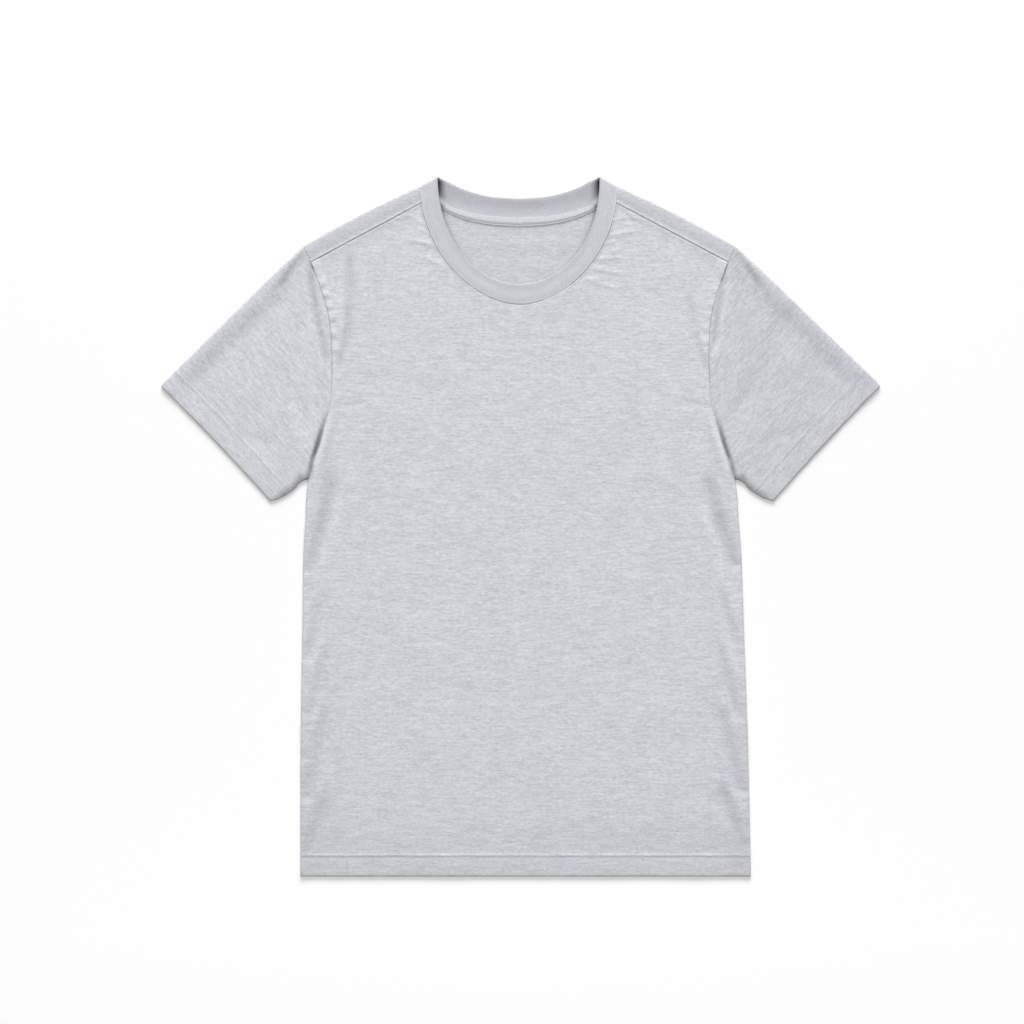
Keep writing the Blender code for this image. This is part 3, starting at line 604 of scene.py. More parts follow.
def front_height(plan):
    """Outer face of the front panel at places (x, y), either side of the centre line."""
    half = half_of(plan)
    from_edge, level = nearest_edge(half, INSET_RUN)
    edge = (edge_column("front_top", level) - LAYER_TOP) * fall(from_edge / edge_column("front_reach", level))
    from_neck = nearest(half, FRONT_SEAM_RUN)[0]
    neck = (NECK_SEAM_TOP - LAYER_TOP) * fall(from_neck / NECK_REACH)
    from_seam = nearest(half, SHOULDER_SEAM_RUN)[0]
    shoulder = (SHOULDER_SEAM_TOP - LAYER_TOP) * np.maximum(1 - from_seam / SHOULDER_REACH, 0.0) ** 2
    in_hem = fall((half[..., 1] - HEM_LEVEL) / BODY_END_REACH)
    lifted = LAYER_TOP - END_DROP * in_hem + blend(edge, neck, shoulder)
    from_arm = nearest(half, EDGE_POINTS[EDGE_LEVELS > ARMPIT_LEVEL])[0]
    uneven = unevenness(plan, FRONT_UNEVEN)
    seams = NECK_DIP * seam_dip(from_neck) + SHOULDER_DIP * seam_dip(from_seam) + ARM_DIP * seam_dip(from_arm)
    return lifted + front_relief(plan) + uneven + seams + hem_lift(half[..., 1] - HEM_LEVEL)


def front_relief(plan):
    """Its folds, creases and puckers."""
    return folds(plan, FRONT_FOLDS) + folds(plan, FRONT_CREASES) + side_nicks(plan) + arm_puckers(plan)


def back_relief(plan):
    """How far the back's outer face stands off the surface below."""
    fine = np.maximum(folds(plan, BACK_CREASES) + unevenness(plan, BACK_UNEVEN), 0.0)
    fine *= fall((plan[..., 1] - 0.24) / 0.03) * (1 - fall((plan[..., 1] - HEM_LEVEL) / 0.06))
    return fine + folds(plan, INSIDE_CREASES) + under_hem(plan[..., 1] - HEM_LEVEL)


# ---- painted shade and light: the colour is darkened in hollows and lightened on ridges, by a part of it ----

RIDGE_SHADE = 75.0          # part of the colour, for each metre of relief, times a contrast
FRONT_CONTRAST, SLEEVE_CONTRAST, INSIDE_CONTRAST = 1.2, 1.7, 2.0
SHADE_LEAST, SHADE_MOST = -0.30, 0.10
GROOVE_SHADE = 0.70         # in the groove between body and sleeve
GROOVE_REACH = 0.0030
GROOVE_OUT = mm_table("level out", (60, 0.0), (76, 1.4), (95, 1.8), (115, 0.6), (130, 0.0))
RIGHT_GROOVE_OUT = 0.0009   # how much further out it is at the wearer's right
LEFT_GROOVE_PART = 0.80     # how dark it is at the wearer's left, against the right
# how much of that painted shade each level of the groove has
GROOVE_SHADE_PARTS = table(
    "level part",
    (0.048, 0.00),
    (0.056, 0.42),
    (0.066, 0.80),
    (0.073, 0.55),
    (0.082, 1.00),
    (0.091, 1.00),
    (0.102, 0.80),
    (0.113, 0.42),
    (0.124, 0.12),
    (0.132, 0.00),
)
LIP_PAINTED_LIGHT = 0.16             # painted highlight on the body beside the groove, this far inside its line
LIP_DEPTH = 0.0058
LIP_LEVELS = (0.056, 0.072, 0.108, 0.128)
LIP_REACH = 0.0026
# painted shade in the hollow further in
LIP_HOLLOW_PAINTED_SHADE = -0.06
LIP_HOLLOW_DEPTH = 2.2 * LIP_DEPTH
LIP_HOLLOW_REACH = 0.0036
ARMHOLE_SHADE = 0.16        # along the armhole seam, from this level up
ARMHOLE_REACH = 0.0009
ARMHOLE_LEVEL = 0.145
UNDERARM_SHADE = 0.40       # round the underarm fold beside the armhole
UNDERARM_REACH = 0.0048
UNDERARM_TUCK = np.array([0.2436, 0.0560])      # painted shade of a small tuck of the sleeve beside the armpit
UNDERARM_TUCK_SHADE = 0.22
UNDERARM_TUCK_REACH = 0.0032
# painted shade round the cuff's rolled rim
CUFF_RIM_PAINTED_SHADE = -0.22
CUFF_RIM_REACH = 0.0013
CREST_PAINTED_LIGHT = 0.04           # painted highlight along the sleeve's top fold
CREST_REACH = 0.0035
POCKET_SHADE = 0.88         # between the front and back of the neckband at its peaks
POCKET_REACH = 0.0105
POCKET_LENGTH = 0.048
TAPE_POCKET = np.array([0.0860, 0.3537])    # where the tape goes under the front neckband
TAPE_POCKET_SHADE = 0.70
TAPE_POCKET_REACH = (0.0044, 0.0038)
LEDGE_SHADE = 0.32          # on the back, beside the front neckband's free edge
LEDGE_REACH = 0.0026
LEDGE_LEVELS = (0.285, 0.345)
PEAK = FRONT_BAND_RUN[-1]
INSIDE_PAINTED_SHADE = -0.070        # painted shade on the inside of the back, in the neck opening
INSIDE_LEVEL = 0.255
STRIP_PAINTED_SHADE = -0.035         # painted shade on the back's strip between the shoulder fold and seam
STRIP_WIDTH = 0.015
# painted shade on the front near the hem, and within what distance of it
HEM_PAINTED_SHADE = -0.060
HEM_SHADE_REACH = 0.100
SIDE_PAINTED_SHADE = -0.038          # painted shade along the lower part of the side seams
SIDE_SHADE_REACH = 0.070
SIDE_SHADE_LEVEL = -0.120
SHOULDER_PAINTED_SHADE = -0.030      # painted shade on the front, just below the shoulder seam
SHOULDER_SHADE_REACH = 0.0032
NECK_STITCH_PAINTED_SHADE = -0.170   # painted shade of the sunk line along the row of stitches round the neckband
NECK_STITCH_REACH = 0.0010
NECK_STITCH_FROM = 0.045    # how far from the centre that starts
NECK_LIP_PAINTED_LIGHT = 0.060       # painted highlight between and below them
NECK_LIP_REACH = 0.007


def relief_shade(relief):
    return np.clip(RIDGE_SHADE * relief, SHADE_LEAST, SHADE_MOST)


def groove_place(plan):
    """How far out from the groove's line places are, and level with what part of it."""
    half = half_of(plan)
    from_edge, level = nearest_edge(half)
    from_edge *= np.where(half[..., 0] > edge_column("x", level), 1, -1)
    out = np.interp(level, *GROOVE_OUT.values())
    out += RIGHT_GROOVE_OUT * (plan[..., 0] < 0) * (1 - fall((level - 0.060) / 0.015))
    return from_edge - out, level


def groove_shade(plan):
    gap, level = groove_place(plan)
    depth = np.interp(level, *GROOVE_SHADE_PARTS.values())
    depth *= np.where(plan[..., 0] > 0, LEFT_GROOVE_PART, 1.0)
    return -GROOVE_SHADE * depth * bell(gap / GROOVE_REACH)


def lip_shade(plan):
    """Painted highlight where the body's cloth turns up to the light beside the groove, and painted shade in
    a soft hollow further in.
    """
    gap, level = groove_place(plan)
    lip = LIP_PAINTED_LIGHT * bell((gap + LIP_DEPTH) / LIP_REACH)
    hollow = LIP_HOLLOW_PAINTED_SHADE * bell((gap + LIP_HOLLOW_DEPTH) / LIP_HOLLOW_REACH)
    return np.interp(level, LIP_LEVELS, (0.0, 1.0, 1.0, 0.0)) * (lip + hollow)


def armhole_shade(plan):
    """A thin line at the armhole seam, above the armpit."""
    from_edge, level = nearest_edge(half_of(plan))
    part = (1 - fall((level - ARMHOLE_LEVEL) / 0.020)) * (0.4 + 0.6 * fall((level - SEAM_ARM_LEVEL) / 0.004))
    return -ARMHOLE_SHADE * part * bell(from_edge / ARMHOLE_REACH)


def inside_band(plan):
    """How far inside the front neckband's free edge places are, and how far from its peak."""
    half = half_of(plan)
    inside = np.interp(plan[..., 1], FRONT_BAND_RUN[:, 1], FRONT_BAND_RUN[:, 0]) - half[..., 0]
    return inside, np.linalg.norm(half - PEAK, axis=-1)


def pocket_shade(plan):
    inside, from_peak = inside_band(plan)
    at_peak = POCKET_SHADE * fall(inside / POCKET_REACH) * fall(from_peak / POCKET_LENGTH)
    return -np.maximum(at_peak, spots(half_of(plan), [TAPE_POCKET], [TAPE_POCKET_SHADE], TAPE_POCKET_REACH))


def front_shade(plan):
    half = half_of(plan)
    # painted shade near the hem, along the lower sides, below the shoulder seam, along the neck stitching and
    # in the groove; painted highlight at the neck seam and beside the groove
    at_hem = HEM_PAINTED_SHADE * fall((plan[..., 1] - HEM_LEVEL) / HEM_SHADE_REACH)
    from_side = np.maximum(edge_column("x", np.clip(plan[..., 1], HEM_LEVEL, 0.0)) - half[..., 0], 0.0)
    low = 1 - fall((SIDE_SHADE_LEVEL - plan[..., 1]) / 0.120)
    tone = at_hem + SIDE_PAINTED_SHADE * low * fall(from_side / SIDE_SHADE_REACH)
    tone += SHOULDER_PAINTED_SHADE * bell(nearest(half, SHOULDER_SEAM_RUN)[0] / SHOULDER_SHADE_REACH)
    from_neck = nearest(half, FRONT_SEAM_RUN)[0]
    at_sides = np.clip((half[..., 0] - NECK_STITCH_FROM) / 0.015, 0.0, 1.0)
    tone += NECK_STITCH_PAINTED_SHADE * at_sides * bell((from_neck - NECK_STITCH) / NECK_STITCH_REACH)
    tone += NECK_LIP_PAINTED_LIGHT * fall(from_neck / NECK_LIP_REACH)
    tone += groove_shade(plan) + lip_shade(plan) + armhole_shade(plan)
    return relief_shade(FRONT_CONTRAST * front_relief(plan)) + tone


UNDERARM_RUN = smooth_run(knots_of(SLEEVE_UNDERARM_FOLD))


def sleeve_shade(plan):
    half = half_of(plan)
    # painted shade round the underarm fold, at the tuck and at the cuff's rim; painted highlight along the
    # top fold
    underarm = bell(nearest(half, UNDERARM_RUN)[0] / UNDERARM_REACH) * fall((half[..., 0] - 0.258) / 0.030)
    rim = CUFF_RIM_PAINTED_SHADE * bell(from_cuff_edge(half) / CUFF_RIM_REACH)
    crest = CREST_PAINTED_LIGHT * bell(nearest(half, TOP_RUN)[0] / CREST_REACH)
    tuck = spots(half, [UNDERARM_TUCK], [UNDERARM_TUCK_SHADE], UNDERARM_TUCK_REACH)
    tone = groove_shade(plan) + armhole_shade(plan) - UNDERARM_SHADE * underarm - tuck + rim + crest
    return relief_shade(SLEEVE_CONTRAST * sleeve_folds(plan)) + tone


def back_shade(plan):
    """Painted shade on the back: its inside where it shows in the neck opening beside the front neckband, and
    its strip.
    """
    half = half_of(plan)
    high = np.clip((plan[..., 1] - LEDGE_LEVELS[0]) / (LEDGE_LEVELS[1] - LEDGE_LEVELS[0]), 0.0, 1.0)
    ledge = -LEDGE_SHADE * high * bell(nearest(half, FRONT_BAND_RUN)[0] / LEDGE_REACH)
    inside = 1 - fall((inside_band(plan)[0] + 0.010) / 0.010)
    inside *= 1 - fall((plan[..., 1] - INSIDE_LEVEL) / 0.008)
    strip = 1 - fall(((half - SHOULDER_ARM) @ SHOULDER_OUT + STRIP_WIDTH) / 0.004)
    tone = ledge + INSIDE_PAINTED_SHADE * inside + STRIP_PAINTED_SHADE * strip
    tone += pocket_shade(plan) * (inside_band(plan)[0] > 0)
    return relief_shade(INSIDE_CONTRAST * folds(plan, INSIDE_CREASES)) + tone


# ---- meshes ----

def lean(points):
    """Shift points sideways with their distance below the lean's level."""
    points = points.copy()
    points[..., 0] += LEAN * (LEAN_LEVEL - points[..., 1])
    return points


def with_height(plan, z):
    return np.concatenate([plan, np.broadcast_to(z, plan.shape[:-1])[..., None]], axis=-1)


def bowed(points):
    """The left half's points, moved outwards near the shoulder fold to bow it."""
    from_neck = (points[..., :2] - SHOULDER_NECK) @ SHOULDER_ALONG
    inwards = (SHOULDER_NECK - points[..., :2]) @ SHOULDER_OUT
    part = np.clip(from_neck / np.linalg.norm(SHOULDER_ARM - SHOULDER_NECK), 0.0, 1.0)
    shift = SHOULDER_BOW * np.sin(np.pi * part) * fall(inwards / SHOULDER_BOW_REACH)
    points = points.copy()
    points[..., :2] += shift[..., None] * SHOULDER_OUT
    return points


def add_block(mesh, points, closed_rows=False):
    """Quads between neighbouring rows and columns. Closed rows join their last column to their first."""
    rows, columns = points.shape[:2]
    verts = [[mesh.verts.new(point) for point in row] for row in points]
    for r in range(rows - 1):
        for c in range(columns if closed_rows else columns - 1):
            d = (c + 1) % columns
            mesh.faces.new((verts[r][c], verts[r][d], verts[r + 1][d], verts[r + 1][c]))
    return verts


def add_object(name, data):
    made = bpy.data.objects.new(name, data)
    bpy.context.scene.collection.objects.link(made)
    return made


def add_mesh(name, mesh):
    data = bpy.data.meshes.new(name)
    mesh.to_mesh(data)
    mesh.free()
    return add_object(name, data)


def finished(name, mesh):
    """Weld the blocks, turn the faces outwards (the highest one faces up) and make the object."""
    bmesh.ops.remove_doubles(mesh, verts=mesh.verts, dist=WELD)
    bmesh.ops.recalc_face_normals(mesh, faces=mesh.faces)
    mesh.normal_update()
    highest = max(mesh.faces, key=lambda face: face.calc_center_median().z)
    if highest.normal.z < 0:
        bmesh.ops.reverse_faces(mesh, faces=mesh.faces)
    made = add_mesh(name, mesh)
    made.data.shade_smooth()
    return made


def cloth(name, blocks, painted_shade_of, closed_rows=False):
    """Jersey from blocks of (outer points, wall at each row), with painted shade and light given by a
    function of places in plan.
    """
    mesh = bmesh.new()
    weights = mesh.verts.layers.deform.verify()
    shade = mesh.verts.layers.float.new("shade")
    thinnest = HEM_PROFILE["wall"].min()
    for points, walls in blocks:
        verts = add_block(mesh, lean(points), closed_rows)
        for row, tones, wall in zip(verts, painted_shade_of(points[..., :2]), walls):
            for vert, tone in zip(row, tones):
                vert[weights][0] = (wall - thinnest) / (HEM_CLOTH - thinnest)
                vert[shade] = tone
    made = finished(name, mesh)
    made.vertex_groups.new(name="wall")
    wall = made.modifiers.new("wall", "SOLIDIFY")
    wall.thickness = HEM_CLOTH
    wall.offset = -1.0
    wall.use_even_offset = True
    wall.vertex_group = "wall"
    wall.thickness_vertex_group = thinnest / HEM_CLOTH
    return made


# ---- the front and back panels ----

def ruled(starts, ends, fractions):
    """Rows of places on straight lines between two runs of points."""
    return starts[:, None] + (ends - starts)[:, None] * np.asarray(fractions)[None, :, None]


def panel_rows(starts, levels, fractions, curl_name):
    """Rows from starts to the body's edge and round its roll: places, and how far each has turned away."""
    edge, normal = edge_at(levels)
    radius = side_radius(levels)[:, None]
    inset = edge - radius * normal
    turn = np.clip(edge_column(curl_name, levels), LEAST_CURL, MOST_CURL)[:, None] * np.pi / 2
    across = radius * np.sin(ROLL_PARTS * turn) / np.sin(turn)
    away = radius * (1 - np.cos(ROLL_PARTS * turn)) / np.sin(turn)
    flat = ruled(starts, inset, fractions)
    roll = inset[:, None] + normal[:, None] * across[..., None]
    if curl_name == "front_curl":
        away *= 1 + np.interp(levels, *GROOVE.values())[:, None]
    turned = np.concatenate([np.zeros(flat.shape[:2]), away], axis=1)
    return np.concatenate([flat, roll], axis=1), turned


HEM_LEVELS = HEM_LEVEL + HEM_PROFILE["from_edge"]
UNDERARM_LEVELS = np.linspace(UNDERARM_LEVEL, ARMPIT_LEVEL, ARMPIT_ROWS + 1)
BODY_LEVELS = np.concatenate([
    HEM_LEVELS,
    np.linspace(HEM_LEVELS[-1], UNDERARM_LEVEL, BODY_ROWS + 1)[1:],
    UNDERARM_LEVELS[1:],
])
ARM_LEVELS = np.linspace(ARMPIT_LEVEL, SEAM_ARM_LEVEL, ARM_ROWS + 1)
STRIP_LEVELS = np.linspace(SEAM_ARM_LEVEL, FOLD_ARM_LEVEL, STRIP_ROWS + 1)
BODY_WALLS = np.interp(BODY_LEVELS - HEM_LEVEL, HEM_PROFILE["from_edge"], HEM_PROFILE["wall"])


def panel_plan(neck_run, arm_levels, curl_name):
    """Half a panel in plan, as blocks of (places, how far turned away, wall at each row): the body up to the
    armpit, the yoke over the chest and the yoke beside the armhole."""
    chest = crowded_end(CHEST_COLUMNS, CHEST_CROWDING)
    centre = np.stack([np.zeros_like(BODY_LEVELS), BODY_LEVELS], axis=-1)
    body, body_turned = panel_rows(centre, BODY_LEVELS, chest, curl_name)
    neck = divide(neck_run, even(CHEST_COLUMNS + len(arm_levels) - 1))
    steps = crowded(YOKE_STEPS)
    over_chest = ruled(neck[:CHEST_COLUMNS + 1], body[-1, :CHEST_COLUMNS + 1], steps)
    beside_arm, arm_turned = panel_rows(neck[CHEST_COLUMNS:], arm_levels, steps, curl_name)
    return [
        (body, body_turned, BODY_WALLS),
        (over_chest, np.zeros(over_chest.shape[:2]), np.full(len(over_chest), JERSEY)),
        (beside_arm, arm_turned, np.full(len(beside_arm), JERSEY)),
    ]


def faces_at(plan, turned):
    """Places whose height each point takes: a roll's points take that of the column where it starts."""
    face = plan.copy()
    if turned.any():
        face[:, -len(ROLL_PARTS):] = plan[:, [-1 - len(ROLL_PARTS)]]
    return face


def make_front():
    neck_run = below(FRONT_SEAM_RUN, SEAM_NECK_LEVEL)
    blocks = []
    for side in (1, -1):
        for plan, turned, walls in panel_plan(neck_run, ARM_LEVELS, "front_curl"):
            plan = plan * (side, 1)
            blocks.append((with_height(plan, front_height(faces_at(plan, turned)) - turned), walls))
    return cloth("front_jersey", blocks, front_shade)


def roll_out(angle, squareness=ROLL_SQUARENESS):
    """How far a fold's roll has gone out, as a fraction of its radius, at an angle round it from below."""
    return np.maximum(np.sin(angle), 0.0) ** squareness


def strip_rows(first_row):
    """The back's rows round the shoulder fold and forward to the seam, with a ridge over its allowance."""
    fractions = crowded(YOKE_STEPS)
    neck_end = FRONT_SEAM_RUN[-1]
    arm_end = edge_at(FOLD_ARM_LEVEL)[0]
    rows = [first_row]
    for angle in even(FOLD_STEPS)[1:] * np.pi:
        out = FOLD_PROUD * FOLD_RADIUS * roll_out(angle) * SHOULDER_OUT
        start = neck_end - FOLD_SLIP * (1 - angle / np.pi) * SHOULDER_ALONG + out
        rows.append(strip_row(start, arm_end + out, FOLD_RADIUS * (1 - math.cos(angle)), fractions))
    parts = np.append(even(STRIP_ROWS)[1:-1], [0.95, 0.975, 1.0])
    seam_side = FRONT_SEAM_RUN[FRONT_SEAM_RUN[:, 1] > SEAM_NECK_LEVEL][::-1]
    neck_side = divide(seam_side, parts)
    arm_side = edge_at(FOLD_ARM_LEVEL + (SEAM_ARM_LEVEL - FOLD_ARM_LEVEL) * parts)[0]
    for part, start, end in zip(parts, neck_side, arm_side):
        drop = (2 * FOLD_RADIUS - SHOULDER_SEAM_TOP) * (1 - fall(part ** 1.3))
        ridge = 0.0004 * bell((part - 0.93) / 0.06) - 0.0003 * fall((1 - part) / 0.05)
        clear = SEAM_GAP * SHOULDER_OUT if part == 1.0 else 0.0
        rows.append(strip_row(start + clear, end + clear, 2 * FOLD_RADIUS - drop + ridge, fractions))
    return np.stack(rows)


def strip_row(start, end, z, fractions):
    """One row across the shoulder strip, with columns where the yoke has them."""
    inset = end - SIDE_RADIUS * SHOULDER_ALONG
    flat = start + (inset - start) * fractions[:, None]
    edge = inset + (end - inset) * ROLL_PARTS[:, None]
    return with_height(np.concatenate([flat, edge]), z)


def make_back():
    arm_levels = np.concatenate([ARM_LEVELS, STRIP_LEVELS[1:]])
    blocks = []
    for side in (1, -1):
        half = []
        for plan, turned, walls in panel_plan(BACK_SEAM_RUN, arm_levels, "back_curl"):
            relief = back_relief(faces_at(plan, turned) * (side, 1))
            half.append((with_height(plan, turned + relief), walls))
        strip = strip_rows(half[-1][0][-1])
        half.append((strip, np.full(len(strip), JERSEY)))
        blocks += [(bowed(points) * (side, 1, 1), walls) for points, walls in half]
    return cloth("back_jersey", blocks, back_shade)


# ---- sleeves ----

def directions_at(along, values, fractions):
    """Unit vectors read from a run's own at fractions of its length."""
    return unit(np.stack([np.interp(fractions * along[-1], along, values[:, k]) for k in (0, 1)], axis=-1))


def fold_places(silhouette, from_cuff):
    """Places on a fold's silhouette at distances from the cuff, with its directions and radii."""
    knots = knots_of(silhouette)
    run = smooth_run(knots)
    along = lengths(run)
    at = 1.0 - np.asarray(from_cuff) / along[-1]
    direction = directions_at(along, np.gradient(run, along, axis=0), at)
    radius = np.interp(at * lengths(knots)[-1], lengths(knots), silhouette["radius"])
    return divide(run, at), direction, radius


SLEEVE_PARTS = crowded_end(SLEEVE_RINGS, SLEEVE_CROWDING)[1:]


def ring_distances(silhouette):
    """Distances from the cuff of the rings, at one fold."""
    full = lengths(smooth_run(knots_of(silhouette)))[-1]
    low = HEM_PROFILE["from_edge"]
    return np.concatenate([low, low[-1] + (full - low[-1]) * SLEEVE_PARTS])


def drawn_to_armhole(places, outs, end, out):
    """A fold's insets and directions, drawn to the armhole's own over the last stretch."""
    part = fall((lengths(places)[-1] - lengths(places)) / ARMHOLE_DRAW)[:, None]
    return places + part * (end - places[-1]), unit(outs * (1 - part) + out * part)


def sleeve_layout():
    """The left sleeve's rings, cuff first: each fold's inset, normal and radius, and the places between."""
    top_from_cuff = ring_distances(SLEEVE_TOP_FOLD)
    top, along, top_radius = fold_places(SLEEVE_TOP_FOLD, top_from_cuff)
    top_out = -right_of(along)
    under, along, under_radius = fold_places(SLEEVE_UNDERARM_FOLD, ring_distances(SLEEVE_UNDERARM_FOLD))
    under_out = right_of(along)
    recess = np.interp(top_from_cuff, *CUFF_CORNER.values())
    top = top - top_out * (top_radius + recess)[:, None]
    under = under - under_out * under_radius[:, None]

    levels = np.concatenate([UNDERARM_LEVELS, ARM_LEVELS[1:], STRIP_LEVELS[1:]])[::-1]
    levels[-1] += under_radius[-1]
    edge, normal = edge_at(levels)
    armhole = edge + SEAM_GAP * normal
    top_radius[-1] = FOLD_RADIUS
    top, top_out = drawn_to_armhole(top, top_out, armhole[0], SHOULDER_OUT)
    under, under_out = drawn_to_armhole(under, under_out, armhole[-1], right_of(edge_at(UNDERARM_LEVEL)[1]))

    fractions = lengths(armhole) / lengths(armhole)[-1]
    places = ruled(top, under, fractions)
    bow = armhole - places[-1]
    shape = np.concatenate([np.zeros(len(places) - SLEEVE_RINGS), SLEEVE_PARTS])
    places = places + bow[None] * shape[:, None, None]
    arch = CUFF_BOW * np.sin(np.pi * fractions)[None, :, None] * (1 - shape)[:, None, None]
    places = places + arch * unit(right_of(under[0] - top[0]))
    return top, top_out, top_radius, under, under_out, under_radius, places


TOP, TOP_OUT, TOP_RADIUS, UNDER, UNDER_OUT, UNDER_RADIUS, SLEEVE_PLACES = sleeve_layout()
TOP_RUN = divide(TOP, even(CURVE_POINTS))
SLEEVE_WALLS = np.concatenate([HEM_PROFILE["wall"], np.full(SLEEVE_RINGS, JERSEY)])


def from_cuff_edge(half):
    return nearest(half, SLEEVE_PLACES[0])[0]


def sleeve_height(plan):
    """Outer face of a sleeve's upper layer at places (x, y) of either sleeve."""
    half = half_of(plan)
    from_fold, i = nearest(half, TOP_RUN)
    height = SLEEVE_FOLD_TOP + (2 * FOLD_RADIUS - SLEEVE_FOLD_TOP) * i / CURVE_POINTS
    from_cuff = from_cuff_edge(half)
    at_cuff = fall(from_cuff / SLEEVE_END_REACH)
    fold = (height - LAYER_TOP) * fall(from_fold / SLEEVE_FOLD_REACH) * (1 - 0.6 * fall(from_cuff / 0.030))
    from_arm, level = nearest_edge(half)
    arm = (edge_column("sleeve_top", level) - LAYER_TOP) * fall(from_arm / edge_column("sleeve_reach", level))
    lifted = LAYER_TOP - END_DROP * at_cuff + blend(fold, arm) + np.minimum(arm, 0.0)
    uneven = unevenness(plan, SLEEVE_UNEVEN)
    seam = SLEEVE_DIP * seam_dip(from_arm) * fall((ARMHOLE_LEVEL - level) / 0.02)
    stitching = 1 - 0.5 * (1 - fall((from_cuff - 0.012) / 0.006))
    return lifted + sleeve_folds(plan) + uneven + seam + hem_lift(from_cuff) * stitching


def sleeve_folds(plan):
    return folds(plan, SLEEVE_FOLDS) + folds(plan, SLEEVE_CREASES)


def sleeve_relief(plan):
    """How far the sleeve's lower layer stands off the surface below."""
    from_cuff = from_cuff_edge(half_of(plan))
    inside = fall(from_cuff / 0.12) * (1 - fall(from_cuff / 0.05))
    return under_hem(from_cuff) + np.maximum(unevenness(plan, SLEEVE_BACK_UNEVEN), 0.0) * inside


def roll_points(inset, out, radius, low, high, steps, squareness):
    """Places round a fold from the lower layer up to the upper one, without its ends."""
    angles = even(steps)[1:-1] * np.pi
    plan = inset[:, None] + out[:, None] * (radius[:, None] * roll_out(angles, squareness))[..., None]
    return with_height(plan, low[:, None] + (high - low)[:, None] / 2 * (1 - np.cos(angles)))


def make_sleeve(name, side):
    mirror = np.array([side, 1])
    plan = SLEEVE_PLACES * mirror
    upper = with_height(plan, sleeve_height(plan))
    lower = with_height(plan, sleeve_relief(plan))[:, ::-1]
    top_roll = roll_points(
        TOP * mirror, TOP_OUT * mirror, FOLD_PROUD * TOP_RADIUS, lower[:, -1, 2], upper[:, 0, 2],
        FOLD_STEPS, ROLL_SQUARENESS,
    )
    from_cuff = ring_distances(SLEEVE_UNDERARM_FOLD)
    proud = np.interp(from_cuff / from_cuff[-1], *UNDER_PROUD.values())
    under_roll = roll_points(
        UNDER * mirror, UNDER_OUT * mirror, proud * UNDER_RADIUS, lower[:, 0, 2], upper[:, -1, 2],
        UNDER_FOLD_STEPS, UNDER_SQUARENESS,
    )[:, ::-1]
    rings = np.concatenate([upper, under_roll, lower, top_roll], axis=1)
    return cloth(name, [(rings, SLEEVE_WALLS)], sleeve_shade, closed_rows=True)


# ---- neckband and neck tape ----

BAND_ACROSS = np.array([
    0.0, 0.02, 0.05, 0.08, 0.12, 0.17, 0.23, 0.30, 0.37, 0.44, 0.51, 0.58, 0.65, 0.72, 0.78, 0.84, 0.89, 0.93,
    0.96,
])
BAND_ROUND = 9              # points round its free edge
BAND_PEAK_REACH = 0.83
# Relief of its faces. The outer one is crowned towards its free edge. The inner one, seen at the back, rises
# to its free edge, and the outer one leaves the surface below by a part of that.
BAND_OUTER = table(
    "across lift",
    (0.00, -0.00024),
    (0.02, -0.00013),
    (0.05, -0.00003),
    (0.12,  0.00010),
    (0.20,  0.00020),
    (0.30,  0.00033),
    (0.45,  0.00030),
    (0.60,  0.00020),
    (0.75,  0.00030),
    (0.88,  0.00050),
    (0.95,  0.00055),
    (1.00,  0.00040),
)
BAND_INNER = table(
    "across lift",
    (0.00, 0.00000),
    (0.25, 0.00005),
    (0.38, 0.00010),
    (0.50, 0.00033),
    (0.60, 0.00062),
    (0.70, 0.00100),
    (0.80, 0.00140),
    (0.90, 0.00170),
    (1.00, 0.00175),
)
BAND_RISE = 0.7             # how much of the inner face's rise the outer one has
POCKET_RISE = 0.0024        # how much further it rises beside each peak, over what width and length
POCKET_WIDTH = 0.010
POCKET_RISE_LENGTH = 0.034
BAND_BACK_PAINTED_SHADE = -0.120     # painted shade on its inner face at the back, and how much of that its rim is without
BAND_RIM_PART = 0.55
BAND_FRONT_PAINTED_SHADE = -0.045    # painted shade on its outer face at the front, painted highlight at its seam, and painted shade at its free edge between levels
BAND_SEAM_PAINTED_LIGHT = 0.28
BAND_EDGE_PAINTED_SHADE = -0.14
BAND_EDGE_LEVELS = (0.262, 0.320)


def band_stations():
    """Half of the neckband from the centre back: its outer face's seam and free edges, and the way out."""
    rows = []
    back = crowded_end(BAND_STATIONS_BACK, BAND_CROWDING)
    for seam, free in zip(divide(BACK_SEAM_RUN, back), divide(BACK_BAND_RUN, back)):
        rows.append((*seam, 0.0, *free, 0.0, 0.0, 0.0, -1.0))
    for angle in even(FOLD_STEPS)[1:-1] * np.pi:
        slip = FOLD_SLIP * (1 - angle / np.pi)
        shift = PEAK_PROUD * FOLD_RADIUS * roll_out(angle) * SHOULDER_OUT - slip * SHOULDER_ALONG
        seam, free = FRONT_SEAM_RUN[-1] + shift, FRONT_BAND_RUN[-1] + shift
        z = FOLD_RADIUS * (1 - math.cos(angle))
        rows.append((*seam, z, *free, z, *(math.sin(angle) * SHOULDER_OUT), -math.cos(angle)))
    front = 1 - crowded(BAND_STATIONS_FRONT, BAND_CROWDING)
    for part, seam, free in zip(front, divide(FRONT_SEAM_RUN, front), divide(FRONT_BAND_RUN, front)):
        z = BAND_FRONT_TOP + (2 * FOLD_RADIUS - BAND_FRONT_TOP) * fall((1 - part) / BAND_PEAK_REACH)
        rows.append((*seam, z, *free, z, 0.0, 0.0, 1.0))
    seams, frees, outs = np.split(np.array(rows), 3, axis=1)
    return seams + BAND_GAP * unit(frees - seams), frees, outs


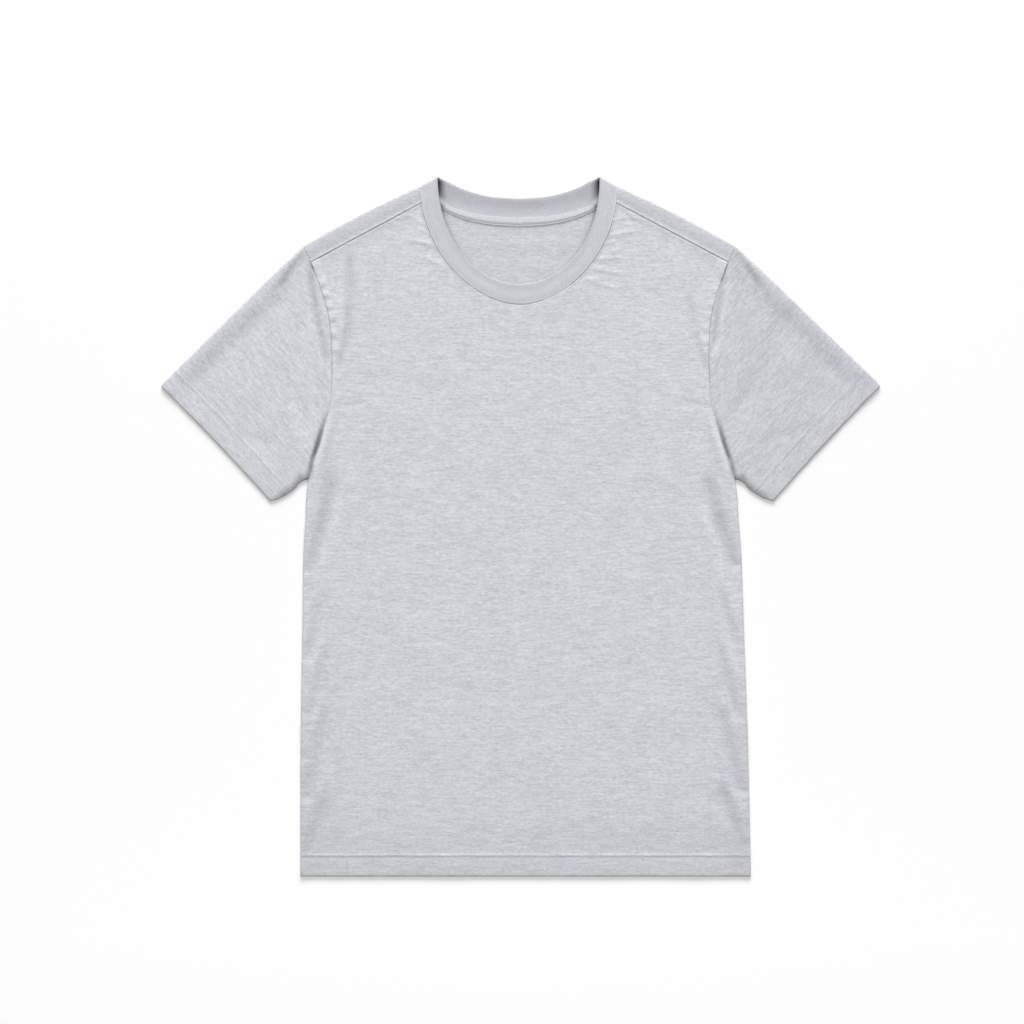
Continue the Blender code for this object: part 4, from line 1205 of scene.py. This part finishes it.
def band_section(up):
    """The band's section, out along its outer face and back: parts of its width, and distances out. `up` is
    how far its outer face looks up."""
    outer = spline(*BAND_OUTER.values(), BAND_ACROSS) * max(up, 0.0)
    inner = spline(*BAND_INNER.values(), BAND_ACROSS) * max(-up, 0.0)
    inner *= 1 - BAND_RISE
    high, low = outer[-1], -RIB - inner[-1]
    angles = np.linspace(0.0, np.pi, BAND_ROUND + 2)[1:-1]
    round_across = BAND_ACROSS[-1] + (1 - BAND_ACROSS[-1]) * np.sin(angles)
    round_out = (high + low) / 2 + (high - low) / 2 * np.cos(angles)
    across = np.concatenate([BAND_ACROSS, round_across, BAND_ACROSS[::-1]])
    return across, np.concatenate([outer, round_out, -RIB - inner[::-1]])


def band_rise(points, across, down):
    """How far the band rises to its free edge where its outer face looks down, with a pocket at each peak."""
    inside, from_peak = inside_band(points)
    pocket = fall(inside / POCKET_WIDTH)
    lift = BAND_RISE * spline(*BAND_INNER.values(), across)
    lift = lift * (1 - pocket * fall(from_peak / POCKET_LENGTH))
    further = POCKET_RISE * (1 - pocket) * fall(from_peak / POCKET_RISE_LENGTH)
    return down * (lift + further * np.clip(across / 0.4, 0.0, 1.0))


def knitted(points, along, across, tones):
    """A mesh of points whose places along and across the cloth, and tones, are kept as attributes."""
    mesh = bmesh.new()
    knit = mesh.verts.layers.float_vector.new("knit")
    shade = mesh.verts.layers.float.new("shade")
    verts = add_block(mesh, lean(points), closed_rows=True)
    for row, place, row_tones in zip(verts, along, tones):
        for vert, depth, tone in zip(row, across, row_tones):
            vert[knit] = (place, depth, 0.0)
            vert[shade] = tone
    return mesh, verts


def make_neckband():
    seams, frees, outs = band_stations()
    half = []
    for seam, free, out in zip(seams, frees, outs):
        across, away = band_section(out[2])
        points = seam + (free - seam) * across[:, None] + out * away[:, None]
        points[:, 2] += band_rise(points[:, :2], across, max(-out[2], 0.0))
        half.append(points)
    ring = np.array(half + [points * (-1, 1, 1) for points in half[-2:0:-1]])
    middle = lengths(ring[:, len(BAND_ACROSS) // 2])
    middle -= middle[-1] / 2
    looks_down = np.clip(-outs[:, 2], 0.0, 1.0)
    looks_down = np.concatenate([looks_down, looks_down[-2:0:-1]])[:, None]
    across = band_section(1.0)[0]
    inner = (np.arange(len(across)) > len(across) / 2) * np.minimum(across / 0.25, 1.0)
    inner *= 1 - BAND_RIM_PART * np.clip((across - 0.82) / 0.18, 0.0, 1.0)
    # painted shade on the inner face at the back; on the outer face at the front, painted shade with a
    # painted highlight at the seam
    tones = (pocket_shade(ring[..., :2]) + BAND_BACK_PAINTED_SHADE) * looks_down * inner
    at_edge = np.interp(across, (0.88, 0.98), (0, 1)) * np.interp(ring[..., 1], BAND_EDGE_LEVELS, (0, 1))
    at_seam = BAND_SEAM_PAINTED_LIGHT * np.clip((0.07 - across) / 0.05, 0.0, 1.0)
    tones += (1 - looks_down) * (BAND_FRONT_PAINTED_SHADE + BAND_EDGE_PAINTED_SHADE * at_edge + at_seam)
    across = across * np.linalg.norm(frees[0] - seams[0])
    ring, tones = np.concatenate([ring, ring[:1]]), np.concatenate([tones, tones[:1]])
    return finished("neckband_rib", knitted(ring, np.append(middle, -middle[0]), across, tones)[0])


TAPE_DEPTH = 0.0090
TAPE_TAPER = 0.0034
TAPE_HALF_LENGTH = 0.80
TAPE_STATIONS = 90
# painted shade over the whole tape
TAPE_PAINTED_SHADE = -0.03
TAPE_LOW_PAINTED_LIGHT = 0.22        # painted highlight near its lower edge
# Its section, from its lower edge under it to its upper one over the band's seam edge, and back over it
TAPE_SECTION = table(
    "across z",
    (1.00,  0.0013),
    (0.50,  0.0013),
    (0.03,  0.0013),
    (-0.02, 0.0020),
    (-0.08, 0.0020),
    (-0.09, 0.0022),
    (-0.06, 0.0024),
    (0.05,  0.0025),
    (0.12,  0.0025),
    (0.22,  0.0027),
    (0.40,  0.0029),
    (0.54,  0.0030),
    (0.66,  0.0028),
    (0.74,  0.0025),
    (0.80,  0.0022),
    (0.85,  0.0020),
    (0.88,  0.0020),
    (0.91,  0.0020),
    (0.94,  0.0020),
    (0.97,  0.0018),
    (1.00,  0.0014),
)


def tape_runs():
    """The tape's upper edge along the back neck seam, and the way from it to its lower edge."""
    fractions = TAPE_HALF_LENGTH * np.linspace(-1.0, 1.0, 2 * TAPE_STATIONS + 1)
    seam = divide(BACK_SEAM_RUN, np.abs(fractions))
    seam[:, 0] *= np.sign(fractions)
    depth = TAPE_DEPTH - TAPE_TAPER * np.linspace(-1.0, 1.0, len(seam))[:, None] ** 2
    return seam, depth * unit(right_of(np.gradient(seam, axis=0)))


def make_neck_tape():
    seam, down = tape_runs()
    points = [with_height(seam + across * down, z) for across, z in zip(*TAPE_SECTION.values())]
    points = np.stack(points, axis=1)
    across = TAPE_SECTION["across"]
    # painted highlight near the lower edge, over the painted shade of the tape and its pocket
    low = TAPE_LOW_PAINTED_LIGHT * np.interp(across, (0.72, 0.80), (0.0, 1.0))
    tones = pocket_shade(points[..., :2]) + TAPE_PAINTED_SHADE + low
    mesh, verts = knitted(points, lengths(seam), across * TAPE_DEPTH, tones)
    mesh.faces.new(verts[0])
    mesh.faces.new(verts[-1][::-1])
    return finished("neck_tape_woven", mesh)


# ---- stitches ----

THREAD = 0.00030            # half the width of a stitch
STITCH = 0.0021
STITCH_PITCH = 0.0028
STITCH_SIDES = 6
# How its thread comes up, lies along the cloth and goes down again
STITCH_FORM = table(
    "along size sink",
    (0.00, 0.35, 0.90),
    (0.12, 0.85, 0.35),
    (0.50, 1.00, 0.10),
    (0.88, 0.85, 0.35),
    (1.00, 0.35, 0.90),
)
STITCH_FLATNESS = 0.6
RISE_ABOVE = 0.00005        # of its middle from the cloth's outer face, above and at the underside
RISE_BELOW = 0.00014
TAPE_STITCH_PART = 0.91     # of the tape's depth, and its upper face there
TAPE_TOP = 0.0020


def stitches(name, *runs):
    """One mesh of small raised stitches along (run of points, which way its cloth looks)."""
    mesh = bmesh.new()
    for run, up in runs:
        count = int(lengths(run)[-1] / STITCH_PITCH)
        starts = divide(run, (np.arange(count) + 0.1) / count)
        ends = divide(run, (np.arange(count) + 0.1 + STITCH / STITCH_PITCH) / count)
        for start, end in zip(starts, ends):
            add_stitch(mesh, start, end, up)
    return finished(name, mesh)


def add_stitch(mesh, start, end, up):
    line = end - start
    side = np.array([-line[1], line[0], 0.0]) / np.linalg.norm(line[:2])
    angles = np.arange(STITCH_SIDES)[:, None] * 2 * np.pi / STITCH_SIDES
    section = THREAD * (np.cos(angles) * side + np.sin(angles) * (0.0, 0.0, STITCH_FLATNESS))
    rings = [
        start + line * along + section * size - (0.0, 0.0, sink * THREAD * up)
        for along, size, sink in zip(*STITCH_FORM.values())
    ]
    verts = add_block(mesh, np.array(rings), closed_rows=True)
    mesh.faces.new(verts[0])
    mesh.faces.new(verts[-1][::-1])


def on_cloth(plan, height, up):
    """A run along a layer's outer face, with which way that looks."""
    return lean(with_height(plan, height(plan) + (RISE_ABOVE if up > 0 else RISE_BELOW))), up


def hem_run():
    end, level = BODY_EDGE["x"][0] - 2 * SIDE_RADIUS_AT_HEM, HEM_LEVEL + STITCH_DEPTH
    return np.linspace((-end, level), (end, level), CURVE_POINTS)


def cuff_run(side):
    ring = SLEEVE_PLACES[np.abs(HEM_PROFILE["from_edge"] - STITCH_DEPTH).argmin()]
    return divide(ring * (side, 1), even(CURVE_POINTS))


def neck_run():
    """Round the neckband on the front, a little outside its seam, from one shoulder seam to the other."""
    seam = below(FRONT_SEAM_RUN, SEAM_NECK_LEVEL - 0.002)
    half = seam + NECK_STITCH * unit(right_of(np.gradient(seam, axis=0)))
    return np.concatenate([half[::-1] * (-1, 1), half[1:]])


def make_stitches():
    """Joined meshes of the stitches on the front, back, each sleeve and the tape."""
    seam, down = tape_runs()
    tape = lean(with_height(seam + TAPE_STITCH_PART * down, TAPE_TOP + RISE_ABOVE))[4:-4]
    sleeves = []
    for name, side in (("sleeve_left_stitches", 1), ("sleeve_right_stitches", -1)):
        cuff = cuff_run(side)
        sleeves.append(stitches(name, on_cloth(cuff, sleeve_height, 1), on_cloth(cuff, sleeve_relief, -1)))
    hem, neck = on_cloth(hem_run(), front_height, 1), on_cloth(neck_run(), front_height, 1)
    return (
        stitches("front_stitches", hem, neck),
        stitches("back_stitches", on_cloth(hem_run(), back_relief, -1)),
        *sleeves,
        stitches("neck_tape_stitches", (tape, 1)),
    )


# ---- materials ----

class Nodes:
    """Short calls that add shader nodes to one material."""

    def __init__(self, name):
        self.material = bpy.data.materials.new(name)
        self.material.use_nodes = True
        self.tree = self.material.node_tree
        self.shader = self.tree.nodes["Principled BSDF"]

    def link(self, value, socket):
        if isinstance(value, bpy.types.NodeSocket):
            self.tree.links.new(value, socket)
        else:
            socket.default_value = value

    def add(self, kind, operation=None, **inputs):
        """A new node, with its inputs linked to other nodes or set."""
        node = self.tree.nodes.new(kind)
        if operation:
            node.operation = operation
        for name, value in inputs.items():
            self.link(value, node.inputs[name])
        return node

    def math(self, operation, a, b=0.0):
        node = self.add("ShaderNodeMath", operation)
        self.link(a, node.inputs[0])
        self.link(b, node.inputs[1])
        return node.outputs[0]

    def wave(self, value, pitch):
        """Goes from 0 to 0.5 and back in each pitch."""
        return self.math("PINGPONG", self.math("DIVIDE", value, pitch), 0.5)

    def object_place(self, turn=0.0):
        """The piece's own coordinates in metres, turned about the vertical."""
        place = self.add("ShaderNodeTexCoord").outputs["Object"]
        return self.add("ShaderNodeMapping", Rotation=(0.0, 0.0, turn), Vector=place).outputs[0]

    def attribute(self, name, output="Vector"):
        node = self.add("ShaderNodeAttribute")
        node.attribute_name = name
        return node.outputs[output]

    def colour(self, value, colour, contrast):
        """Base colour from darker to lighter tones, darkened by painted shade and lightened by painted light
        from the shade attribute.
        """
        dark, light = ([c * part for c in colour] for part in (1 - contrast, 1 + contrast))
        tones = self.ramp(value, (0.0, dark), (1.0, light))
        shade = self.math("ADD", self.attribute("shade", "Fac"), 1.0)
        scaled = self.add("ShaderNodeVectorMath", "SCALE", Vector=tones, Scale=shade)
        self.link(scaled.outputs[0], self.shader.inputs["Base Color"])

    def stretched_noise(self, place, size, detail=0.0):
        """Noise whose grains have the given sizes, from 0 to 1."""
        scaled = self.add("ShaderNodeMapping", Scale=[1 / s for s in size], Vector=place).outputs[0]
        return self.add("ShaderNodeTexNoise", Scale=1.0, Detail=detail, Vector=scaled).outputs["Fac"]

    def parts(self, place):
        return self.add("ShaderNodeSeparateXYZ", Vector=place).outputs

    def ramp(self, value, *stops):
        node = self.add("ShaderNodeValToRGB", Fac=value)
        while len(node.color_ramp.elements) < len(stops):
            node.color_ramp.elements.new(0.5)
        for element, (position, colour) in zip(node.color_ramp.elements, stops):
            element.position = position
            element.color = (*colour, 1.0)
        return node.outputs[0]

    def bump(self, height, strength, distance):
        node = self.add("ShaderNodeBump", Strength=strength, Distance=distance, Height=height)
        self.link(node.outputs[0], self.shader.inputs["Normal"])

    def finish(self, roughness, sheen):
        for name, value in (
            ("Roughness", roughness),
            ("Sheen Weight", sheen),
            ("Sheen Roughness", 0.5),
            ("Specular IOR Level", 0.2),
        ):
            self.shader.inputs[name].default_value = value
        return self.material


def weighted(nodes, *terms):
    """0.5 plus each value's distance from 0.5 times its weight."""
    total = 0.5
    for value, weight in terms:
        total = nodes.math("ADD", nodes.math("MULTIPLY", nodes.math("SUBTRACT", value, 0.5), weight), total)
    return total


JERSEY_COLOUR = (0.560, 0.566, 0.600)
RIB_COLOUR = (0.540, 0.546, 0.580)
TAPE_COLOUR = (0.545, 0.550, 0.585)
THREAD_COLOUR = (0.535, 0.541, 0.574)
WALE = 0.00080              # width of one column of knit stitches
COURSE = 0.00062
RIB_PITCH = 0.0016
TWILL_PITCH = 0.0011
KNIT_DEPTH = 0.0003


def knit_height(nodes, place):
    """Height of stockinette, from 0 to 1: columns of V-shaped loops."""
    x, y, _ = nodes.parts(place)
    slant = nodes.math("ADD", nodes.math("DIVIDE", y, COURSE), nodes.wave(x, WALE))
    loop = nodes.math("MULTIPLY", nodes.math("PINGPONG", slant, 0.5), 1.2)
    legs = nodes.math("MULTIPLY", nodes.wave(x, WALE / 2), 2.0)
    return nodes.math("MULTIPLY", nodes.math("ADD", loop, 0.4), legs)


def jersey(name, turn=0.0, colour=JERSEY_COLOUR, contrast=0.205, drawn=1.0):
    """Heather jersey: dark and pale fibres over knit loops. `drawn` is how far the courses draw them out."""
    nodes = Nodes(name)
    place = nodes.object_place(turn)
    grain = nodes.stretched_noise(place, (0.0035 * drawn, 0.0017 / drawn, 0.0030))
    streak = nodes.stretched_noise(place, (0.0140 * drawn, 0.0021 / drawn, 0.0060), 1.0)
    fibre = nodes.stretched_noise(place, (0.0060 * drawn, 0.0008, 0.0020))
    cloud = nodes.stretched_noise(place, (0.045, 0.030, 0.045), 1.0)
    heather = weighted(nodes, (grain, 0.74), (streak, 0.88), (fibre, 0.36), (cloud, 0.18))
    nodes.colour(heather, colour, contrast)
    relief = weighted(nodes, (grain, 0.6), (fibre, 0.3), (knit_height(nodes, place), 0.5))
    nodes.bump(relief, 0.35, KNIT_DEPTH)
    return nodes.finish(0.92, 0.12)


def rib(name):
    """Fine rib that runs across the band."""
    nodes = Nodes(name)
    place = nodes.attribute("knit")
    along, across, _ = nodes.parts(place)
    ribs = nodes.wave(along, RIB_PITCH)
    loops = nodes.wave(across, COURSE)
    grain = nodes.stretched_noise(place, (0.0020, 0.0030, 0.0030))
    cloud = nodes.stretched_noise(place, (0.020, 0.009, 0.020), 1.0)
    heather = weighted(nodes, (grain, 0.42), (cloud, 0.34), (ribs, 0.06))
    nodes.colour(heather, RIB_COLOUR, 0.22)
    nodes.bump(weighted(nodes, (ribs, 1.2), (loops, 0.3), (grain, 0.3)), 0.30, KNIT_DEPTH)
    return nodes.finish(0.92, 0.12)


def twill(name):
    """Woven tape with a fine slanting twill."""
    nodes = Nodes(name)
    place = nodes.attribute("knit")
    along, across, _ = nodes.parts(place)
    lines = nodes.wave(nodes.math("ADD", along, across), TWILL_PITCH)
    grain = nodes.stretched_noise(place, (0.0030, 0.0015, 0.0030))
    heather = weighted(nodes, (grain, 0.50), (lines, 0.10))
    nodes.colour(heather, TAPE_COLOUR, 0.22)
    nodes.bump(weighted(nodes, (lines, 1.0), (grain, 0.3)), 0.35, KNIT_DEPTH)
    return nodes.finish(0.9, 0.1)


def thread(name):
    nodes = Nodes(name)
    grain = nodes.stretched_noise(nodes.object_place(), (0.0008, 0.0008, 0.0008))
    nodes.colour(grain, THREAD_COLOUR, 0.1)
    nodes.bump(grain, 0.3, 0.0001)
    return nodes.finish(0.7, 0.2)


FLOOR_TONES = table(
    "level tone",
    (-0.45, 0.921),
    (-0.25, 0.897),
    (-0.05, 0.877),
    (0.15,  0.864),
    (0.45,  0.853),
)
FLOOR_SPAN = 1.2


def paper(name):
    """The pale floor, a little darker where the light falls more strongly."""
    nodes = Nodes(name)
    level = nodes.parts(nodes.object_place())[1]
    grain = nodes.stretched_noise(nodes.object_place(), (0.9, 0.9, 0.9))
    along = nodes.math("ADD", nodes.math("DIVIDE", level, FLOOR_SPAN), nodes.math("MULTIPLY", grain, 0.02))
    stops = [(level / FLOOR_SPAN + 0.5, (tone,) * 3) for level, tone in zip(*FLOOR_TONES.values())]
    nodes.link(nodes.ramp(nodes.math("ADD", along, 0.49), *stops), nodes.shader.inputs["Base Color"])
    return nodes.finish(0.9, 0.0)


# ---- the shirt ----

front = make_front()
back = make_back()
sleeve_left = make_sleeve("sleeve_left_jersey", 1)
sleeve_right = make_sleeve("sleeve_right_jersey", -1)
neckband = make_neckband()
neck_tape = make_neck_tape()
front_stitches, back_stitches, left_stitches, right_stitches, tape_stitches = make_stitches()

CUFF_LINE = (0.1189, 0.1275)        # from its underarm fold to its top fold
CUFF_ANGLE = math.atan2(CUFF_LINE[1], CUFF_LINE[0])
LEFT_SLEEVE_PAINTED_SHADE = 0.94             # painted shade: the left sleeve's jersey is a little darker than the right one's
LEFT_SLEEVE_SHADED_COLOUR = [LEFT_SLEEVE_PAINTED_SHADE * part for part in JERSEY_COLOUR]
left_shaded_jersey = jersey("sleeve_left_jersey", -CUFF_ANGLE, LEFT_SLEEVE_SHADED_COLOUR, drawn=0.80)
right_jersey = jersey("sleeve_right_jersey", CUFF_ANGLE, drawn=0.80)
stitch_thread = thread("stitch_thread")
for piece, material, slot, node in (
    (front, jersey("front_jersey"), "jersey", "front"),
    (back, jersey("back_jersey", contrast=0.18), "jersey", "back"),
    (sleeve_left, left_shaded_jersey, "jersey", "sleeve_left"),
    (sleeve_right, right_jersey, "jersey", "sleeve_right"),
    (neckband, rib("neckband_rib"), "rib", "neckband"),
    (neck_tape, twill("neck_tape_twill"), "tape", "neck_tape"),
    (front_stitches, stitch_thread, "jersey", None),
    (back_stitches, stitch_thread, "jersey", None),
    (left_stitches, stitch_thread, "jersey", None),
    (right_stitches, stitch_thread, "jersey", None),
    (tape_stitches, stitch_thread, "tape", None),
):
    piece.data.materials.append(material)
    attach(piece, "root")
    if node:
        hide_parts(node)


# ---- floor, light and camera ----

PHOTO_WIDTH = 1.1264        # metres across the picture, at the shirt
LENS, SENSOR = 100.0, 36.0
VIEW_CENTRE = (-0.00935, 0.01705)
FLOOR_CLEARANCE = 0.0002    # below the underside


def floor():
    mesh = bmesh.new()
    bmesh.ops.create_grid(mesh, x_segments=8, y_segments=8, size=6.0)
    made = add_mesh("floor", mesh)
    made.location.z = -FLOOR_CLEARANCE
    made.data.materials.append(paper("floor_paper"))


def area_light(name, place, size, power):
    """A panel that shines towards the origin."""
    data = bpy.data.lights.new(name, "AREA")
    data.shape = "RECTANGLE"
    data.size, data.size_y = size
    data.energy = power
    made = add_object(name, data)
    made.location = place
    made.rotation_euler = (-Vector(place)).to_track_quat("-Z", "Y").to_euler()


floor()
area_light("key", (0.0, 10.9, 4.9), (8.0, 4.2), 1640.0)
area_light("overhead", (0.0, 0.3, 4.2), (4.0, 4.0), 84.0)

world = bpy.data.worlds.new("soft_room")
world.use_nodes = True
background = world.node_tree.nodes["Background"]
background.inputs["Color"].default_value = (1.0, 1.0, 1.0, 1.0)
background.inputs["Strength"].default_value = 0.328
bpy.context.scene.world = world
bpy.context.scene.view_settings.view_transform = "Standard"

camera = add_object("camera", bpy.data.cameras.new("camera"))
camera.data.lens, camera.data.sensor_width = LENS, SENSOR
camera.location = (*VIEW_CENTRE, PHOTO_WIDTH * LENS / SENSOR + LAYER_TOP)
camera.data.clip_start, camera.data.clip_end = 0.1, 50.0
bpy.context.scene.camera = camera
